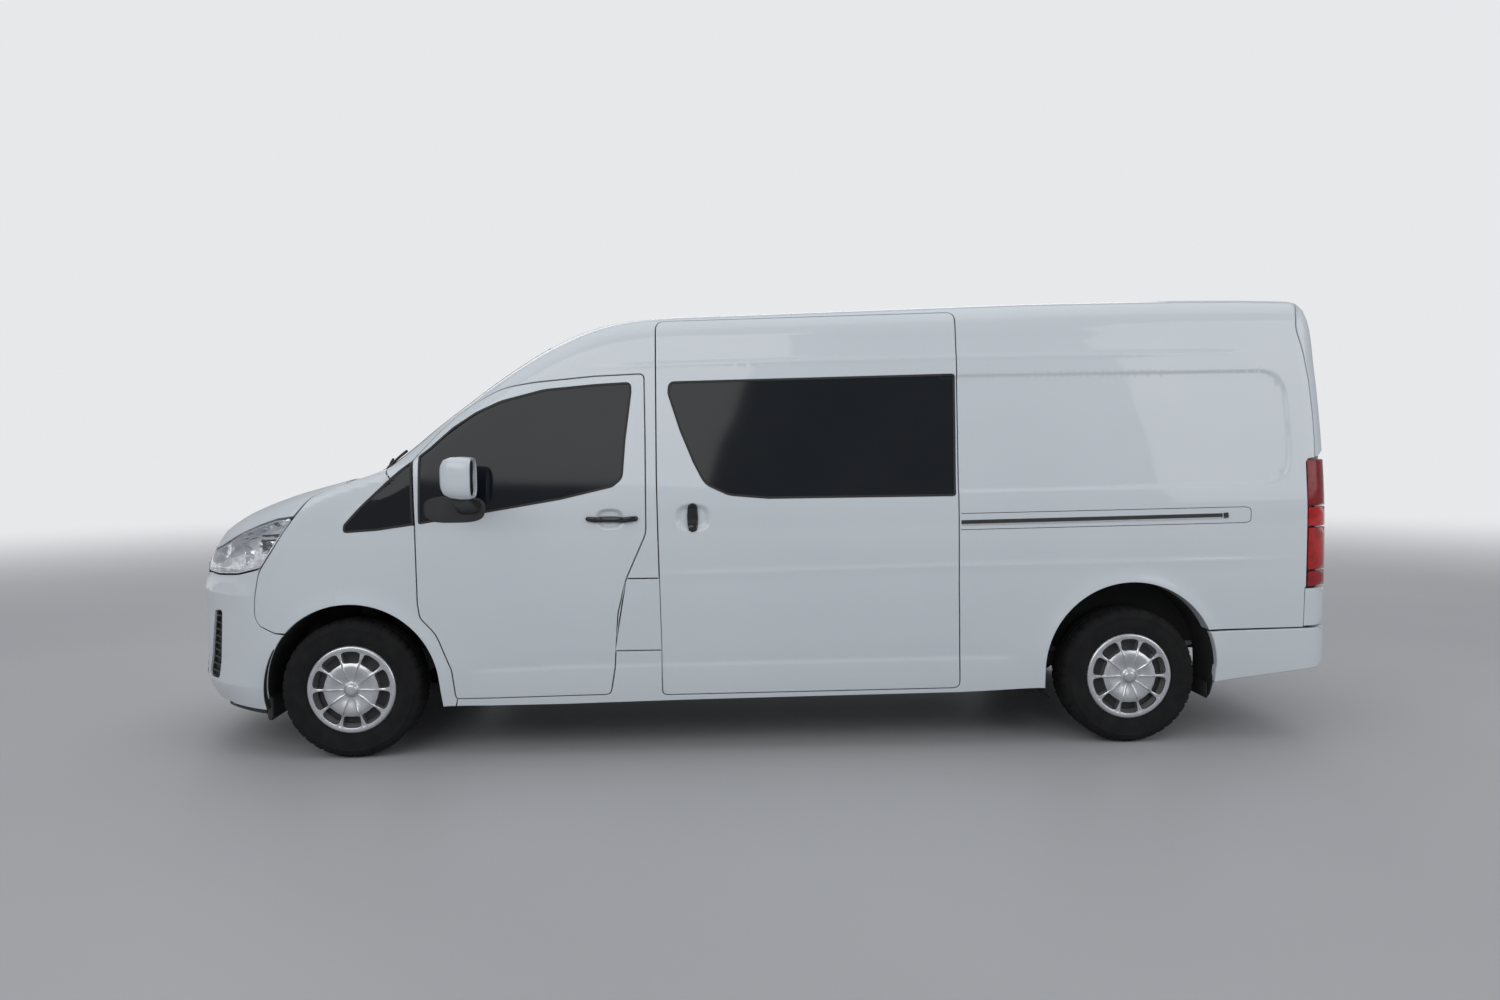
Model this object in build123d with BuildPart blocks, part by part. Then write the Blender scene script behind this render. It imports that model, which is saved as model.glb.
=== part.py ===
"""High-roof, long-wheelbase minibus van: a hollow body split at its real panel joints.

Frame: millimetres, +Z up, front towards -X, left side at -Y, origin on the ground below the
middle of the overall length. Outlines are tables of (x, z, corner radius); x is measured from
the front axle (ahead of it is negative) or, in the rear tables, from the rear axle.
"""
import math
import os
from build123d import *

os.makedirs("parts", exist_ok=True)

# ---------------------------------------------------------------- driving dimensions
WHEELBASE = 3860.0
FRONT_OVERHANG = 985.0
REAR_OVERHANG = 1070.0
WIDTH = 1950.0
HEIGHT = 2283.0
SILL_HEIGHT = 250.0          # underside of the body sides
BELT_HEIGHT = 1270.0         # below this the outlines keep their height
DRAWN_HEIGHT = 2283.0        # overall height at which the tables are written
TRACK_FRONT = 1675.0
TRACK_REAR = 1670.0

FRAME_WALL = 80.0            # body side, roof edge and flange together
DOOR_WALL = 60.0             # doors and tailgate, skin to inner trim
ROOF_WALL = 45.0
NOSE_WALL = 30.0             # hood, fender top and bumper moulding
GLASS_SET_IN = 5.0           # glass face below the skin
GLASS_THICK = 6.0
DOOR_GAP = 6.0               # shut line round whatever opens
SEAM = 0.5                   # joint between fixed panels
SEAT_GAP = 0.3               # seal or bore clearance at rest
FLANGE = 30.0                # frame flange behind a door's edge
REBATE = 14.0                # step round a front door's inner part, so that it swings out freely
REBATE_DEPTH = 10.0          # skin side of that step

TYRE_RADIUS = 340.0
TYRE_WIDTH = 225.0
RIM_RADIUS = 203.0
RIM_WIDTH = 196.0
COVER_RADIUS = 217.0
SPOKES = 10
ARCH_RADIUS_FRONT = 420.0
ARCH_RADIUS_REAR = 433.0
ARCH_RISE_REAR = 44.0        # rear arch centre above the wheel centre
LINER_WALL = 12.0
KINGPIN_Y = 760.0
STEER_HUB_RADIUS = 70.0

FLOOR_TOP = 640.0
FLOOR_THICK = 40.0
FLOOR_HALF = 878.0
BULKHEAD_X = -60.0
BULKHEAD_THICK = 20.0
BULKHEAD_TOP = 1280.0
BULKHEAD_HALF = 840.0        # above its shoulder the bulkhead reaches over the wheelhouses
BULKHEAD_SHOULDER = 790.0
RAIL_IN = 420.0
RAIL_OUT = 490.0
RAIL_HEIGHT = 140.0
ROOF_HALF = 742.0            # half width of the roof panel
TAILGATE_HALF = 790.0        # half width between the lamps
LAMP_LOW = 780.0
LAMP_HIGH = 1432.0
LAMP_FRONT = 898.0           # lamps' front edge, behind the rear axle
TAIL_FRAME = 900.0           # the opening behind this, inside the tailgate's flange, is clear
TAIL_ZONE = 700.0            # everything behind this belongs to the tail
SPLIT_ROOF = 2037.0          # roof panel above, side frames below
HOUSE_REACH = 500.0          # how far in the nose outlines cut
BUMPER_TOP_REAR = 577.0
BUMPER_TOP_FRONT = 864.0
GRILLE_TOP = 984.0
GRILLE_HALF = 556.0
BUMPER_PROUD = 15.0
SCREEN_SLOPE = 34.4          # windscreen, degrees from level
SCREEN_BOW = 100.0           # centre ahead of the corners at half width SCREEN_CHORD
SCREEN_CHORD = 800.0
SCREEN_FOOT = (192.0, 1548.0)  # a point of the screen on the centreline
MIRROR_X = 575.0
MIRROR_Z = 1350.0
MIRROR_FOOT = 1118.0
COWL_HALF = 872.0            # half width of the cowl under the windscreen
COWL_TOP = 1352.0
STEER_COLUMN_ANGLE = 25.0
DRIVER_Y = 420.0
HUB_BORE = 30.0
HUB_FACE = 10.0              # wheel's mounting face, outboard of the tyre's middle
RUNNING_GAP = 0.05
TOW_SPACING_Y = 800.0
TOW_SPACING_Z = 80.0
TOW_HOLE_RADIUS = 7.0
STEERING_WHEEL_RADIUS = 190.0

# ---------------------------------------------------------------- derived places
LENGTH = FRONT_OVERHANG + WHEELBASE + REAR_OVERHANG
HALF = WIDTH / 2
AXLE_F = FRONT_OVERHANG - LENGTH / 2
AXLE_R = AXLE_F + WHEELBASE
BODY_TAIL = REAR_OVERHANG - BUMPER_PROUD
BEYOND = 2 * LENGTH          # a length past every face


def up(z):
    """Height of a table point, stretched above the belt to the overall height."""
    if z <= BELT_HEIGHT:
        return z
    return BELT_HEIGHT + (z - BELT_HEIGHT) * (HEIGHT - BELT_HEIGHT) / (DRAWN_HEIGHT - BELT_HEIGHT)


def from_front(table):
    """Rows (x from the front axle, z, radius) in the body's frame."""
    return [(AXLE_F + x, up(z), r) for x, z, r in table]


def from_rear(table):
    """Rows (x from the rear axle, z, radius) in the body's frame."""
    return [(AXLE_R + x, up(z), r) for x, z, r in table]


def rounded(rows):
    """Closed run of lines through (x, y, radius) corners, each rounded as far as its runs allow."""
    corners = [(Vector(x, y), radius) for x, y, radius in rows]
    entries = []
    for number, (corner, radius) in enumerate(corners):
        before = corners[number - 1][0] - corner
        after = corners[(number + 1) % len(corners)][0] - corner
        half_angle = math.radians(before.get_angle(after)) / 2
        reach = min(radius / math.tan(half_angle), 0.49 * before.length, 0.49 * after.length)
        bisector = (before.normalized() + after.normalized()).normalized()
        to_arc = reach / math.cos(half_angle) - reach * math.tan(half_angle)
        entries.append((corner + before.normalized() * reach, corner + bisector * to_arc,
                        corner + after.normalized() * reach, reach))
    for number, (start, middle, end, reach) in enumerate(entries):
        if reach:
            ThreePointArc(start, middle, end)
        Line(end, entries[(number + 1) % len(entries)][0])


def prism(plane, rows, depth, grow=0.0):
    """Outline of rounded straight runs on a plane, grown by grow and extruded by depth."""
    with BuildPart() as body:
        with BuildSketch(plane):
            with BuildLine():
                rounded(rows)
            make_face()
            if grow:
                offset(amount=grow, kind=Kind.INTERSECTION)
        extrude(amount=depth)
    return body.part


def side_prism(rows, grow=0.0, inner=780.0):
    """Outline seen from the side, cut through the left wall from half width inner outwards."""
    return prism(Plane.XZ.offset(inner), rows, HALF, grow)


def across_prism(rows, grow=0.0):
    """Outline seen from the side, cut right across the body."""
    return prism(Plane.XZ.offset(-WIDTH), rows, 2 * WIDTH, grow)


def front_prism(rows, x_low, x_high, grow=0.0):
    """Outline (y, z, radius) seen from the front, between two places along the body."""
    return prism(Plane.YZ.offset(x_low), rows, x_high - x_low, grow)


def block(x, y, z):
    """Box between three (low, high) pairs."""
    with BuildPart() as body:
        with Locations(((x[0] + x[1]) / 2, (y[0] + y[1]) / 2, (z[0] + z[1]) / 2)):
            Box(x[1] - x[0], y[1] - y[0], z[1] - z[0])
    return body.part


def both_sides(shape):
    """A left-hand shape with its mirror image."""
    with BuildPart() as body:
        add(shape)
        mirror(about=Plane.XZ)
    return body.part


def common(first, *others):
    """What all the given shapes share."""
    with BuildPart() as body:
        add(first)
        for other in others:
            add(other, mode=Mode.INTERSECT)
    return body.part


def less(first, *others):
    """The first shape with the others cut away."""
    with BuildPart() as body:
        add(first)
        for other in others:
            add(other, mode=Mode.SUBTRACT)
    return body.part


# ---------------------------------------------------------------- outlines
# (x from the front axle, z, corner radius)
FRONT_DOOR = from_front([
    (335, 1141, 0), (318, 1456, 8), (512, 1668, 160), (745, 1812, 420), (1200, 1866, 300),
    (1434, 1872, 22), (1441, 1100, 90), (1322, 800, 260), (1284, 430, 150), (1262, 300, 28),
    (506, 288, 20), (478, 480, 180), (345, 692, 60),
])
FRONT_WINDOW = from_front([
    (358, 1160, 8), (358, 1490, 8), (508, 1613, 120), (745, 1757, 350), (1100, 1811, 200),
    (1372, 1829, 24), (1341, 1540, 120), (1310, 1338, 30), (1029, 1264, 200), (611, 1195, 200),
])
QUARTER_WINDOW = from_front([
    (-14, 1112, 12), (322, 1146, 6), (303, 1442, 6), (75, 1236, 200), (-10, 1145, 12),
])
FENDER = from_front([
    (-345, 626, 10), (-432, 670, 30), (-440, 800, 60), (-412, 937, 10), (-243, 1190, 20),
    (-154, 1290, 10), (-200, 1600, 0), (120, 1600, 0), (171, 1416, 0), (210, 1362, 0), (316, 1300, 0),
    (327, 1141, 0), (338, 690, 50), (472, 478, 180), (500, 288, 12), (505, 200, 0), (330, 200, 0),
    (0, 520, 0), (-300, 520, 0),
])
HOOD_SIDE = from_front([
    (-1300, 990, 0), (-830, 990, 60), (-700, 1021, 80), (-529, 1110, 60), (-340, 1179, 60),
    (-240, 1192, 20), (-154, 1290, 10), (-140, 1600, 0), (60, 1700, 0), (-1300, 1700, 0),
])
# (x, half width, corner radius) of the hood seen from above, its left half from the nose to the middle
HOOD_HALF_PLAN = [(-1300, 1200, 0), (-200, 1200, 0), (-150, 908, 30), (-20, COWL_HALF, 30), (-110, 500, 600)]
HOOD_MIDDLE = (-172, 0, 900)
HOOD_PLAN = [(AXLE_F + x, side * y, r)
             for side, rows in ((-1, HOOD_HALF_PLAN + [HOOD_MIDDLE]), (1, HOOD_HALF_PLAN[::-1]))
             for x, y, r in rows]
HEADLIGHT = from_front([
    (-243, 1186, 12), (-340, 1173, 60), (-529, 1104, 60), (-700, 1015, 80), (-850, 984, 10),
    (-850, 902, 10), (-700, 893, 80), (-560, 905, 60), (-412, 937, 12),
])
BUMPER_FRONT = from_front([
    (-1300, 200, 0), (-1300, BUMPER_TOP_FRONT, 0), (-830, BUMPER_TOP_FRONT, 0), (-830, 892, 0),
    (-700, 888, 60), (-560, 899, 60), (-413, 931, 8), (-441, 800, 60), (-433, 668, 30),
    (-346, 621, 8), (-300, 520, 0), (-300, 200, 0),
])
SIDE_WINDOW_FRONT = [
    (1565, 1829, 24), (1560, 1780, 60), (1680, 1436, 60), (1760, 1300, 80), (1990, 1260, 200),
]


def sliding_outline(rows_front, rows_rear):
    """Outline whose front runs from the front axle and whose rear runs from the rear axle."""
    return from_front(rows_front) + from_rear(rows_rear)


SLIDING_DOOR = sliding_outline(
    [(1516, 290, 26), (1513, 510, 200), (1500, 1120, 400), (1494, 2138, 40)],
    [(-862, 2182, 36), (-868, 1863, 0), (-874, 1267, 0), (-874, 800, 0), (-866, 300, 30)])
SLIDING_WINDOW = sliding_outline(
    list(reversed(SIDE_WINDOW_FRONT)), [(-915, 1859, 16), (-925, 1264, 16)])
BUMPER_REAR = from_rear([
    (424, 302, 0), (1001, 371, 60), (1300, 371, 0), (1300, BUMPER_TOP_REAR, 0), (392, BUMPER_TOP_REAR, 0),
    (340, 302, 0),
])
TAILGATE_SIDE = from_rear([
    (945, LAMP_HIGH + 6, 0), (945, 1760, 300), (893, 2090, 60), (926, 2218, 0), (926, 2500, 0),
    (1300, 2500, 0), (1300, LAMP_HIGH + 6, 0),
])
# (y, z, corner radius) seen from the front or the rear
WINDSCREEN = [
    (-805, up(1372), 60), (-700, up(2030), 60), (700, up(2030), 60), (805, up(1372), 60),
    (430, up(1358), 500), (-430, up(1358), 500),
]
TAIL_WINDOW = [(-690, up(1330), 60), (-640, up(1960), 60), (640, up(1960), 60), (690, up(1330), 60)]
# (y, z, corner radius) air intakes and vents in the front bumper
INTAKE = [(-560, 330, 30), (-500, 600, 40), (500, 600, 40), (560, 330, 30)]

# ---------------------------------------------------------------- body form
# Half cross-section: (inboard of the half width, height)
SECTION_SILL = (30, SILL_HEIGHT)
SECTION_LOW = (6, 500)
SECTION_WIDE = (0, 800)
SECTION_BELT = (6, 1180)
SECTION_CANT = (143, up(2100))
SECTION_TURN = (208, up(2190))
SECTION_ROOF = (375, up(2240))


def cross_section(inset):
    """Prism of the body's cross-section, inset from its sides and roof; open below when inset."""
    low = SECTION_SILL[1] - (BEYOND if inset else 0)

    def at(point, drop=0.0):
        return HALF - point[0] - inset, point[1] - drop

    with BuildPart() as body:
        with BuildSketch(Plane.YZ.offset(-LENGTH)):
            with BuildLine():
                Line((0, low), (at(SECTION_SILL)[0], low))
                Line((at(SECTION_SILL)[0], low), at(SECTION_LOW))
                ThreePointArc(at(SECTION_LOW), at(SECTION_WIDE), at(SECTION_BELT))
                cant = at(SECTION_CANT, inset / 2)
                Line(at(SECTION_BELT), cant)
                ThreePointArc(cant, at(SECTION_TURN, inset / 2), at(SECTION_ROOF, inset))
                roof_rise = HEIGHT - SECTION_ROOF[1]
                ThreePointArc(at(SECTION_ROOF, inset),
                              (at(SECTION_ROOF)[0] / 2, SECTION_ROOF[1] + 0.75 * roof_rise - inset),
                              (0, HEIGHT - inset))
                mirror(about=Plane.YZ)
            make_face()
        extrude(amount=2 * LENGTH)
    return body.part


# Horizontal sections of the nose: height, foremost point, shoulder of the bow (x, half width)
# and the place where the flank begins, all from the front axle. The joining surface is ruled.
NOSE_SECTIONS = [
    # z     nose   bow x  bow y  flank
    (235, -945, -650, 735, -150),
    (420, -985, -700, 740, -171),
    (780, -985, -700, 740, -171),
    (930, -957, -690, 745, -175),
    (1000, -885, -665, 755, -180),
    (1100, -785, -570, 820, -190),
    (1180, -670, -440, 850, -170),
    (1240, -540, -320, 870, -120),
    (1290, -370, -210, 885, -80),
    (1338, -150, -60, 880, 60),
    (1420, 150, 190, 870, 260),
]


def nose(shift):
    """Bonnet and bow up to the cowl, moved back and down by shift."""
    back = AXLE_F + 700
    with BuildPart() as body:
        for z, tip, bow_x, bow_y, flank in NOSE_SECTIONS:
            bow = (AXLE_F + bow_x + shift, min(bow_y, HALF - 90))
            bow_left = (bow[0], -bow[1])
            edge = (AXLE_F + flank + shift, HALF)
            edge_left = (edge[0], -HALF)
            with BuildSketch(Plane.XY.offset(up(z) - shift)):
                with BuildLine():
                    ThreePointArc(bow_left, (AXLE_F + tip + shift, 0), bow)
                    TangentArc(edge, bow, tangent=(-1, 0), tangent_from_first=True)
                    Line(edge, (back, HALF))
                    Line((back, HALF), (back, -HALF))
                    Line((back, -HALF), edge_left)
                    TangentArc(edge_left, bow_left, tangent=(-1, 0), tangent_from_first=True)
                make_face()
        loft(ruled=True)
    return body.part


def cabin(inset):
    """Everything behind the windscreen, a bowed surface carried up along the screen's slope."""
    slope = math.radians(SCREEN_SLOPE)
    foot_x = AXLE_F + SCREEN_FOOT[0] - SCREEN_FOOT[1] / math.tan(slope) + inset / math.sin(slope)
    far = foot_x + 3 * LENGTH
    with BuildPart() as body:
        with BuildSketch(Plane.XY):
            with BuildLine():
                screen = ThreePointArc((foot_x + SCREEN_BOW, -SCREEN_CHORD), (foot_x, 0),
                                       (foot_x + SCREEN_BOW, SCREEN_CHORD))
                right = PolarLine(screen @ 1, WIDTH, direction=screen % 1)
                left = PolarLine(screen @ 0, WIDTH, direction=-(screen % 0))
                Polyline(right @ 1, (far, (right @ 1).Y), (far, (left @ 1).Y), left @ 1)
            make_face()
        extrude(amount=1.2 * HEIGHT / math.sin(slope), dir=(math.cos(slope), 0, math.sin(slope)))
    return body.part


REAR_LEAN = from_rear([
    (BODY_TAIL, 0, 0), (BODY_TAIL, 1500, 0), (BODY_TAIL - 20, 1870, 600), (BODY_TAIL - 60, 2150, 200),
    (BODY_TAIL - 30, 2205, 12), (BODY_TAIL - 70, 2400, 0),
])
CABIN_FRONT = from_front([(-600, 2400, 0), (-600, 1330, 0), (300, 1330, 0), (300, 0, 0)])
REAR_CORNER = 160.0


def tail(inset):
    """Limits the body behind: the lean of the tailgate and the rounded rear corners."""
    end = AXLE_R + BODY_TAIL - inset
    corner = REAR_CORNER - min(inset, REAR_CORNER / 2)
    with BuildPart() as body:
        with BuildSketch(Plane.XY):
            with BuildLine():
                rounded([(-LENGTH, -HALF + inset, 0), (end, -HALF + inset, corner),
                         (end, HALF - inset, corner), (-LENGTH, HALF - inset, 0)])
            make_face()
        extrude(amount=2 * HEIGHT)
        limits = [(x - inset, z, r) for x, z, r in REAR_LEAN] + [(x, z - inset, r) for x, z, r in CABIN_FRONT]
        add(across_prism(limits), mode=Mode.INTERSECT)
    return body.part


def body_form(inset):
    """The closed outer form of the whole body, inset by a wall."""
    with BuildPart() as form:
        add(cabin(inset))
        add(tail(inset), mode=Mode.INTERSECT)
        add(nose(inset))
        add(cross_section(inset), mode=Mode.INTERSECT)
    return form.part


# ---------------------------------------------------------------- the body shells
OUTER = body_form(0)
FRAME_SHELL = less(OUTER, body_form(FRAME_WALL))
DOOR_SHELL = less(OUTER, body_form(DOOR_WALL))
NOSE_SHELL = less(OUTER, body_form(NOSE_WALL))
DOOR_DEPTH = less(OUTER, body_form(DOOR_WALL + SEAT_GAP))
GLASS_SHELL = less(body_form(GLASS_SET_IN), body_form(GLASS_SET_IN + GLASS_THICK))


def side_box(x_low, x_high, y_low, z_low, z_high, y_high=HALF + 200):
    """Box on the left side between half widths y_low and y_high."""
    return block((x_low, x_high), (-y_high, -y_low), (z_low, z_high))


FRONT_END = -LENGTH
REAR_END = LENGTH
ABOVE = 2 * HEIGHT

# regions that several panels share
hood_region = common(across_prism(HOOD_SIDE), prism(Plane.XY, HOOD_PLAN, ABOVE))
hood_hole = common(across_prism(HOOD_SIDE, DOOR_GAP), prism(Plane.XY, HOOD_PLAN, ABOVE, DOOR_GAP))
tailgate_low = block((AXLE_R + TAIL_ZONE, REAR_END), (-TAILGATE_HALF, TAILGATE_HALF),
                     (BUMPER_TOP_REAR + DOOR_GAP, up(LAMP_HIGH) + 20))
tailgate_low_hole = block((AXLE_R + TAIL_ZONE, REAR_END), (-TAILGATE_HALF - DOOR_GAP, TAILGATE_HALF + DOOR_GAP),
                          (BUMPER_TOP_REAR, up(LAMP_HIGH) + 20))
lamp_box = both_sides(side_box(AXLE_R + LAMP_FRONT, REAR_END, TAILGATE_HALF + DOOR_GAP, LAMP_LOW, up(LAMP_HIGH)))
lamp_hole = both_sides(side_box(AXLE_R + LAMP_FRONT - SEAM, REAR_END, TAILGATE_HALF + DOOR_GAP - 10,
                                LAMP_LOW - SEAM, up(LAMP_HIGH) + SEAM))
screen_low, screen_high = AXLE_F - 400, AXLE_F + 1160
screen_hole = front_prism(WINDSCREEN, screen_low, screen_high)
tail_window_hole = front_prism(TAIL_WINDOW, AXLE_R + TAIL_ZONE, REAR_END)


def wheel_arch(axle_x, radius, rise):
    """Opening over a left wheel, a half round with straight legs, from the inner wall outwards."""
    with BuildPart() as body:
        with BuildSketch(Plane.XZ.offset(HALF - 500)):
            with Locations((axle_x, TYRE_RADIUS + rise)):
                Circle(radius)
            with Locations((axle_x, 0)):
                Rectangle(2 * radius - 12, 2 * (TYRE_RADIUS + rise))
        extrude(amount=HALF)
    return body.part


front_arch = wheel_arch(AXLE_F + 8, ARCH_RADIUS_FRONT, 0)
rear_arch = wheel_arch(AXLE_R, ARCH_RADIUS_REAR, ARCH_RISE_REAR)


def wheel_liner(axle_x, radius, rise, y_in, y_out, base):
    """Wheelhouse over a left wheel: an arched liner with its inner wall."""
    with BuildPart() as body:
        with BuildSketch(Plane.XZ.offset(y_in)):
            with Locations((axle_x, TYRE_RADIUS + rise)):
                Circle(radius + LINER_WALL)
            with Locations((axle_x, (base + TYRE_RADIUS + rise) / 2)):
                Rectangle(2 * (radius + LINER_WALL), TYRE_RADIUS + rise - base)
            with Locations((axle_x, base / 2)):
                Rectangle(4 * radius, base, mode=Mode.SUBTRACT)
            with Locations((axle_x, -radius)):
                Rectangle(4 * radius, 2 * radius, mode=Mode.SUBTRACT)
        extrude(amount=y_out - y_in)
        with BuildSketch(Plane.XZ.offset(y_in + LINER_WALL)):
            with Locations((axle_x, TYRE_RADIUS + rise)):
                Circle(radius)
            with Locations((axle_x, (TYRE_RADIUS + rise) / 2)):
                Rectangle(2 * radius, TYRE_RADIUS + rise)
        extrude(amount=y_out, mode=Mode.SUBTRACT)
    return body.part


FLOOR_BASE = FLOOR_TOP - FLOOR_THICK
ROCKER_IN = FLOOR_HALF - 98
ROCKER_BOTTOM = SILL_HEIGHT + 12
FRONT_HOUSE_IN = 502.0       # inner wall of the front wheelhouses
REAR_HOUSE_IN = 690.0

DOOR_INNER = ROOF_HALF + 10  # tall sliding doors stop beside the roof panel

# ---------------------------------------------------------------- body sides
with BuildPart() as side_frame_left:
    add(FRAME_SHELL)
    add(block((AXLE_F, REAR_END), (-WIDTH, -HALF + 275), (0, ABOVE)), mode=Mode.INTERSECT)
    add(block((FRONT_END, REAR_END), (-ROOF_HALF - SEAM, 0), (up(SPLIT_ROOF), ABOVE)), mode=Mode.SUBTRACT)
    for opening, inner in ((FRONT_DOOR, 700.0), (SLIDING_DOOR, DOOR_INNER)):
        add(common(DOOR_DEPTH, side_prism(opening, DOOR_GAP, inner)), mode=Mode.SUBTRACT)
        add(side_prism(opening, -FLANGE, inner), mode=Mode.SUBTRACT)
    add(side_prism(FENDER, SEAM, inner=HOUSE_REACH), mode=Mode.SUBTRACT)
    add(block((FRONT_END, AXLE_F + 330), (-COWL_HALF - SEAM, 0), (0, up(COWL_TOP))), mode=Mode.SUBTRACT)
    add(side_prism(QUARTER_WINDOW), mode=Mode.SUBTRACT)
    add(hood_hole, mode=Mode.SUBTRACT)
    add(screen_hole, mode=Mode.SUBTRACT)
    add(front_arch, mode=Mode.SUBTRACT)
    add(rear_arch, mode=Mode.SUBTRACT)
    add(side_prism(BUMPER_REAR, SEAM, inner=0.0), mode=Mode.SUBTRACT)
    add(block((AXLE_R + 350, REAR_END), (-WIDTH, 0), (0, 380)), mode=Mode.SUBTRACT)
    add(common(DOOR_DEPTH, across_prism(TAILGATE_SIDE, DOOR_GAP)), mode=Mode.SUBTRACT)
    add(common(DOOR_DEPTH, tailgate_low_hole), mode=Mode.SUBTRACT)
    add(block((AXLE_R + TAIL_FRAME, REAR_END), (-TAILGATE_HALF + FLANGE, TAILGATE_HALF), (0, ABOVE)),
        mode=Mode.SUBTRACT)
    add(common(DOOR_DEPTH, lamp_hole), mode=Mode.SUBTRACT)
    # rocker behind the doors, with the plate that joins it to the sill
    rocker_front, rocker_rear = AXLE_F + 440, AXLE_R - ARCH_RADIUS_REAR - LINER_WALL
    add(side_box(rocker_front, rocker_rear, ROCKER_IN, ROCKER_BOTTOM, FLOOR_BASE, FLOOR_HALF))
    add(side_box(AXLE_F + 530, rocker_rear, ROCKER_IN, SILL_HEIGHT + 4, SILL_HEIGHT + 34, HALF - 50))
    add(less(wheel_liner(AXLE_R, ARCH_RADIUS_REAR, ARCH_RISE_REAR, REAR_HOUSE_IN, HALF - 45, 500),
             side_prism(BUMPER_REAR, SEAM, inner=0.0)))

with BuildPart() as side_frame_right:
    add(mirror(side_frame_left.part, about=Plane.XZ, mode=Mode.PRIVATE))

with BuildPart() as roof_panel:
    add(less(OUTER, body_form(ROOF_WALL)))
    add(block((AXLE_F, REAR_END), (-ROOF_HALF, ROOF_HALF), (up(SPLIT_ROOF) + SEAM, ABOVE)), mode=Mode.INTERSECT)
    add(screen_hole, mode=Mode.SUBTRACT)
    add(across_prism(TAILGATE_SIDE, DOOR_GAP), mode=Mode.SUBTRACT)

# ---------------------------------------------------------------- nose panels
with BuildPart() as cowl_panel:
    add(NOSE_SHELL)
    add(block((AXLE_F - 260, AXLE_F + 330), (-COWL_HALF, COWL_HALF), (up(1200), up(COWL_TOP) - SEAM)),
        mode=Mode.INTERSECT)
    add(hood_hole, mode=Mode.SUBTRACT)

with BuildPart() as front_fender_left:
    add(NOSE_SHELL)
    add(side_prism(FENDER, inner=HOUSE_REACH), mode=Mode.INTERSECT)
    add(hood_hole, mode=Mode.SUBTRACT)
    add(side_prism(QUARTER_WINDOW), mode=Mode.SUBTRACT)
    add(block((FRONT_END, REAR_END), (-COWL_HALF - SEAM, 0), (1200, ABOVE)), mode=Mode.SUBTRACT)
    add(front_arch, mode=Mode.SUBTRACT)
    add(less(wheel_liner(AXLE_F + 8, ARCH_RADIUS_FRONT, 0, FRONT_HOUSE_IN, HALF - 25, TYRE_RADIUS),
             side_prism(BUMPER_FRONT, SEAM, inner=HOUSE_REACH)))

with BuildPart() as front_fender_right:
    add(mirror(front_fender_left.part, about=Plane.XZ, mode=Mode.PRIVATE))

with BuildPart() as hood:
    add(NOSE_SHELL)
    add(hood_region, mode=Mode.INTERSECT)

with BuildPart() as headlights:
    add(less(OUTER, body_form(NOSE_WALL + 40)))
    add(both_sides(side_prism(HEADLIGHT, -SEAM / 2, inner=GRILLE_HALF + 6)), mode=Mode.INTERSECT)
    add(hood_hole, mode=Mode.SUBTRACT)
    for fender in (front_fender_left, front_fender_right):
        add(fender.part, mode=Mode.SUBTRACT)

VENT = from_front([(-720, 742, 12), (-700, 417, 12), (-640, 429, 12), (-640, 742, 12)])
intake_hole = front_prism(INTAKE, AXLE_F - 1200, AXLE_F - 500)
vent_holes = both_sides(side_prism(VENT, inner=HOUSE_REACH))
with BuildPart() as front_bumper:
    add(NOSE_SHELL)
    add(across_prism(BUMPER_FRONT), mode=Mode.INTERSECT)
    add(intake_hole, mode=Mode.SUBTRACT)
    add(vent_holes, mode=Mode.SUBTRACT)
    add(both_sides(front_arch), mode=Mode.SUBTRACT)
    add(headlights.part, mode=Mode.SUBTRACT)
    add(block((FRONT_END, AXLE_F), (-GRILLE_HALF - SEAM, GRILLE_HALF + SEAM), (BUMPER_TOP_FRONT, ABOVE)),
        mode=Mode.SUBTRACT)

GRILLE_SLAT = 16.0
GRILLE_PITCH = 36.0
GRILLE_SET_IN = 4.0


def slats(low, high, half):
    """Level bars across the nose between two heights, with an upright at each side and the middle."""
    rows = max(1, round((high - low) / GRILLE_PITCH))
    with BuildPart() as bars:
        for row in range(rows):
            z = low + (row + 0.5) * (high - low) / rows
            with Locations((AXLE_F - 900, 0, z)):
                Box(800, 2 * half, GRILLE_SLAT)
        for y in (-half + 8, -half / 2, 0, half / 2, half - 8):
            with Locations((AXLE_F - 900, y, (low + high) / 2)):
                Box(800, GRILLE_SLAT, high - low)
    return bars.part


with BuildPart() as grille_cells:
    add(common(slats(INTAKE[0][1], INTAKE[1][1], INTAKE[3][0]), intake_hole))
    add(slats(BUMPER_TOP_FRONT + SEAM, GRILLE_TOP, GRILLE_HALF))
    add(vent_holes)

with BuildPart() as grille:
    add(less(body_form(GRILLE_SET_IN), body_form(NOSE_WALL)))
    add(grille_cells.part, mode=Mode.INTERSECT)
    add(hood_hole, mode=Mode.SUBTRACT)

# ---------------------------------------------------------------- doors and glass


def glass_pane(hole):
    """Pane that fills a window hole, a seal's clearance inside its edge."""
    return common(GLASS_SHELL, hole)


with BuildPart() as front_door_left:
    add(DOOR_SHELL)
    add(side_prism(FRONT_DOOR), mode=Mode.INTERSECT)
    add(cross_section(DOOR_WALL), mode=Mode.SUBTRACT)
    add(less(body_form(REBATE_DEPTH), side_prism(FRONT_DOOR, -REBATE)), mode=Mode.SUBTRACT)
    add(side_prism(FRONT_WINDOW), mode=Mode.SUBTRACT)

with BuildPart() as front_door_right:
    add(mirror(front_door_left.part, about=Plane.XZ, mode=Mode.PRIVATE))

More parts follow.
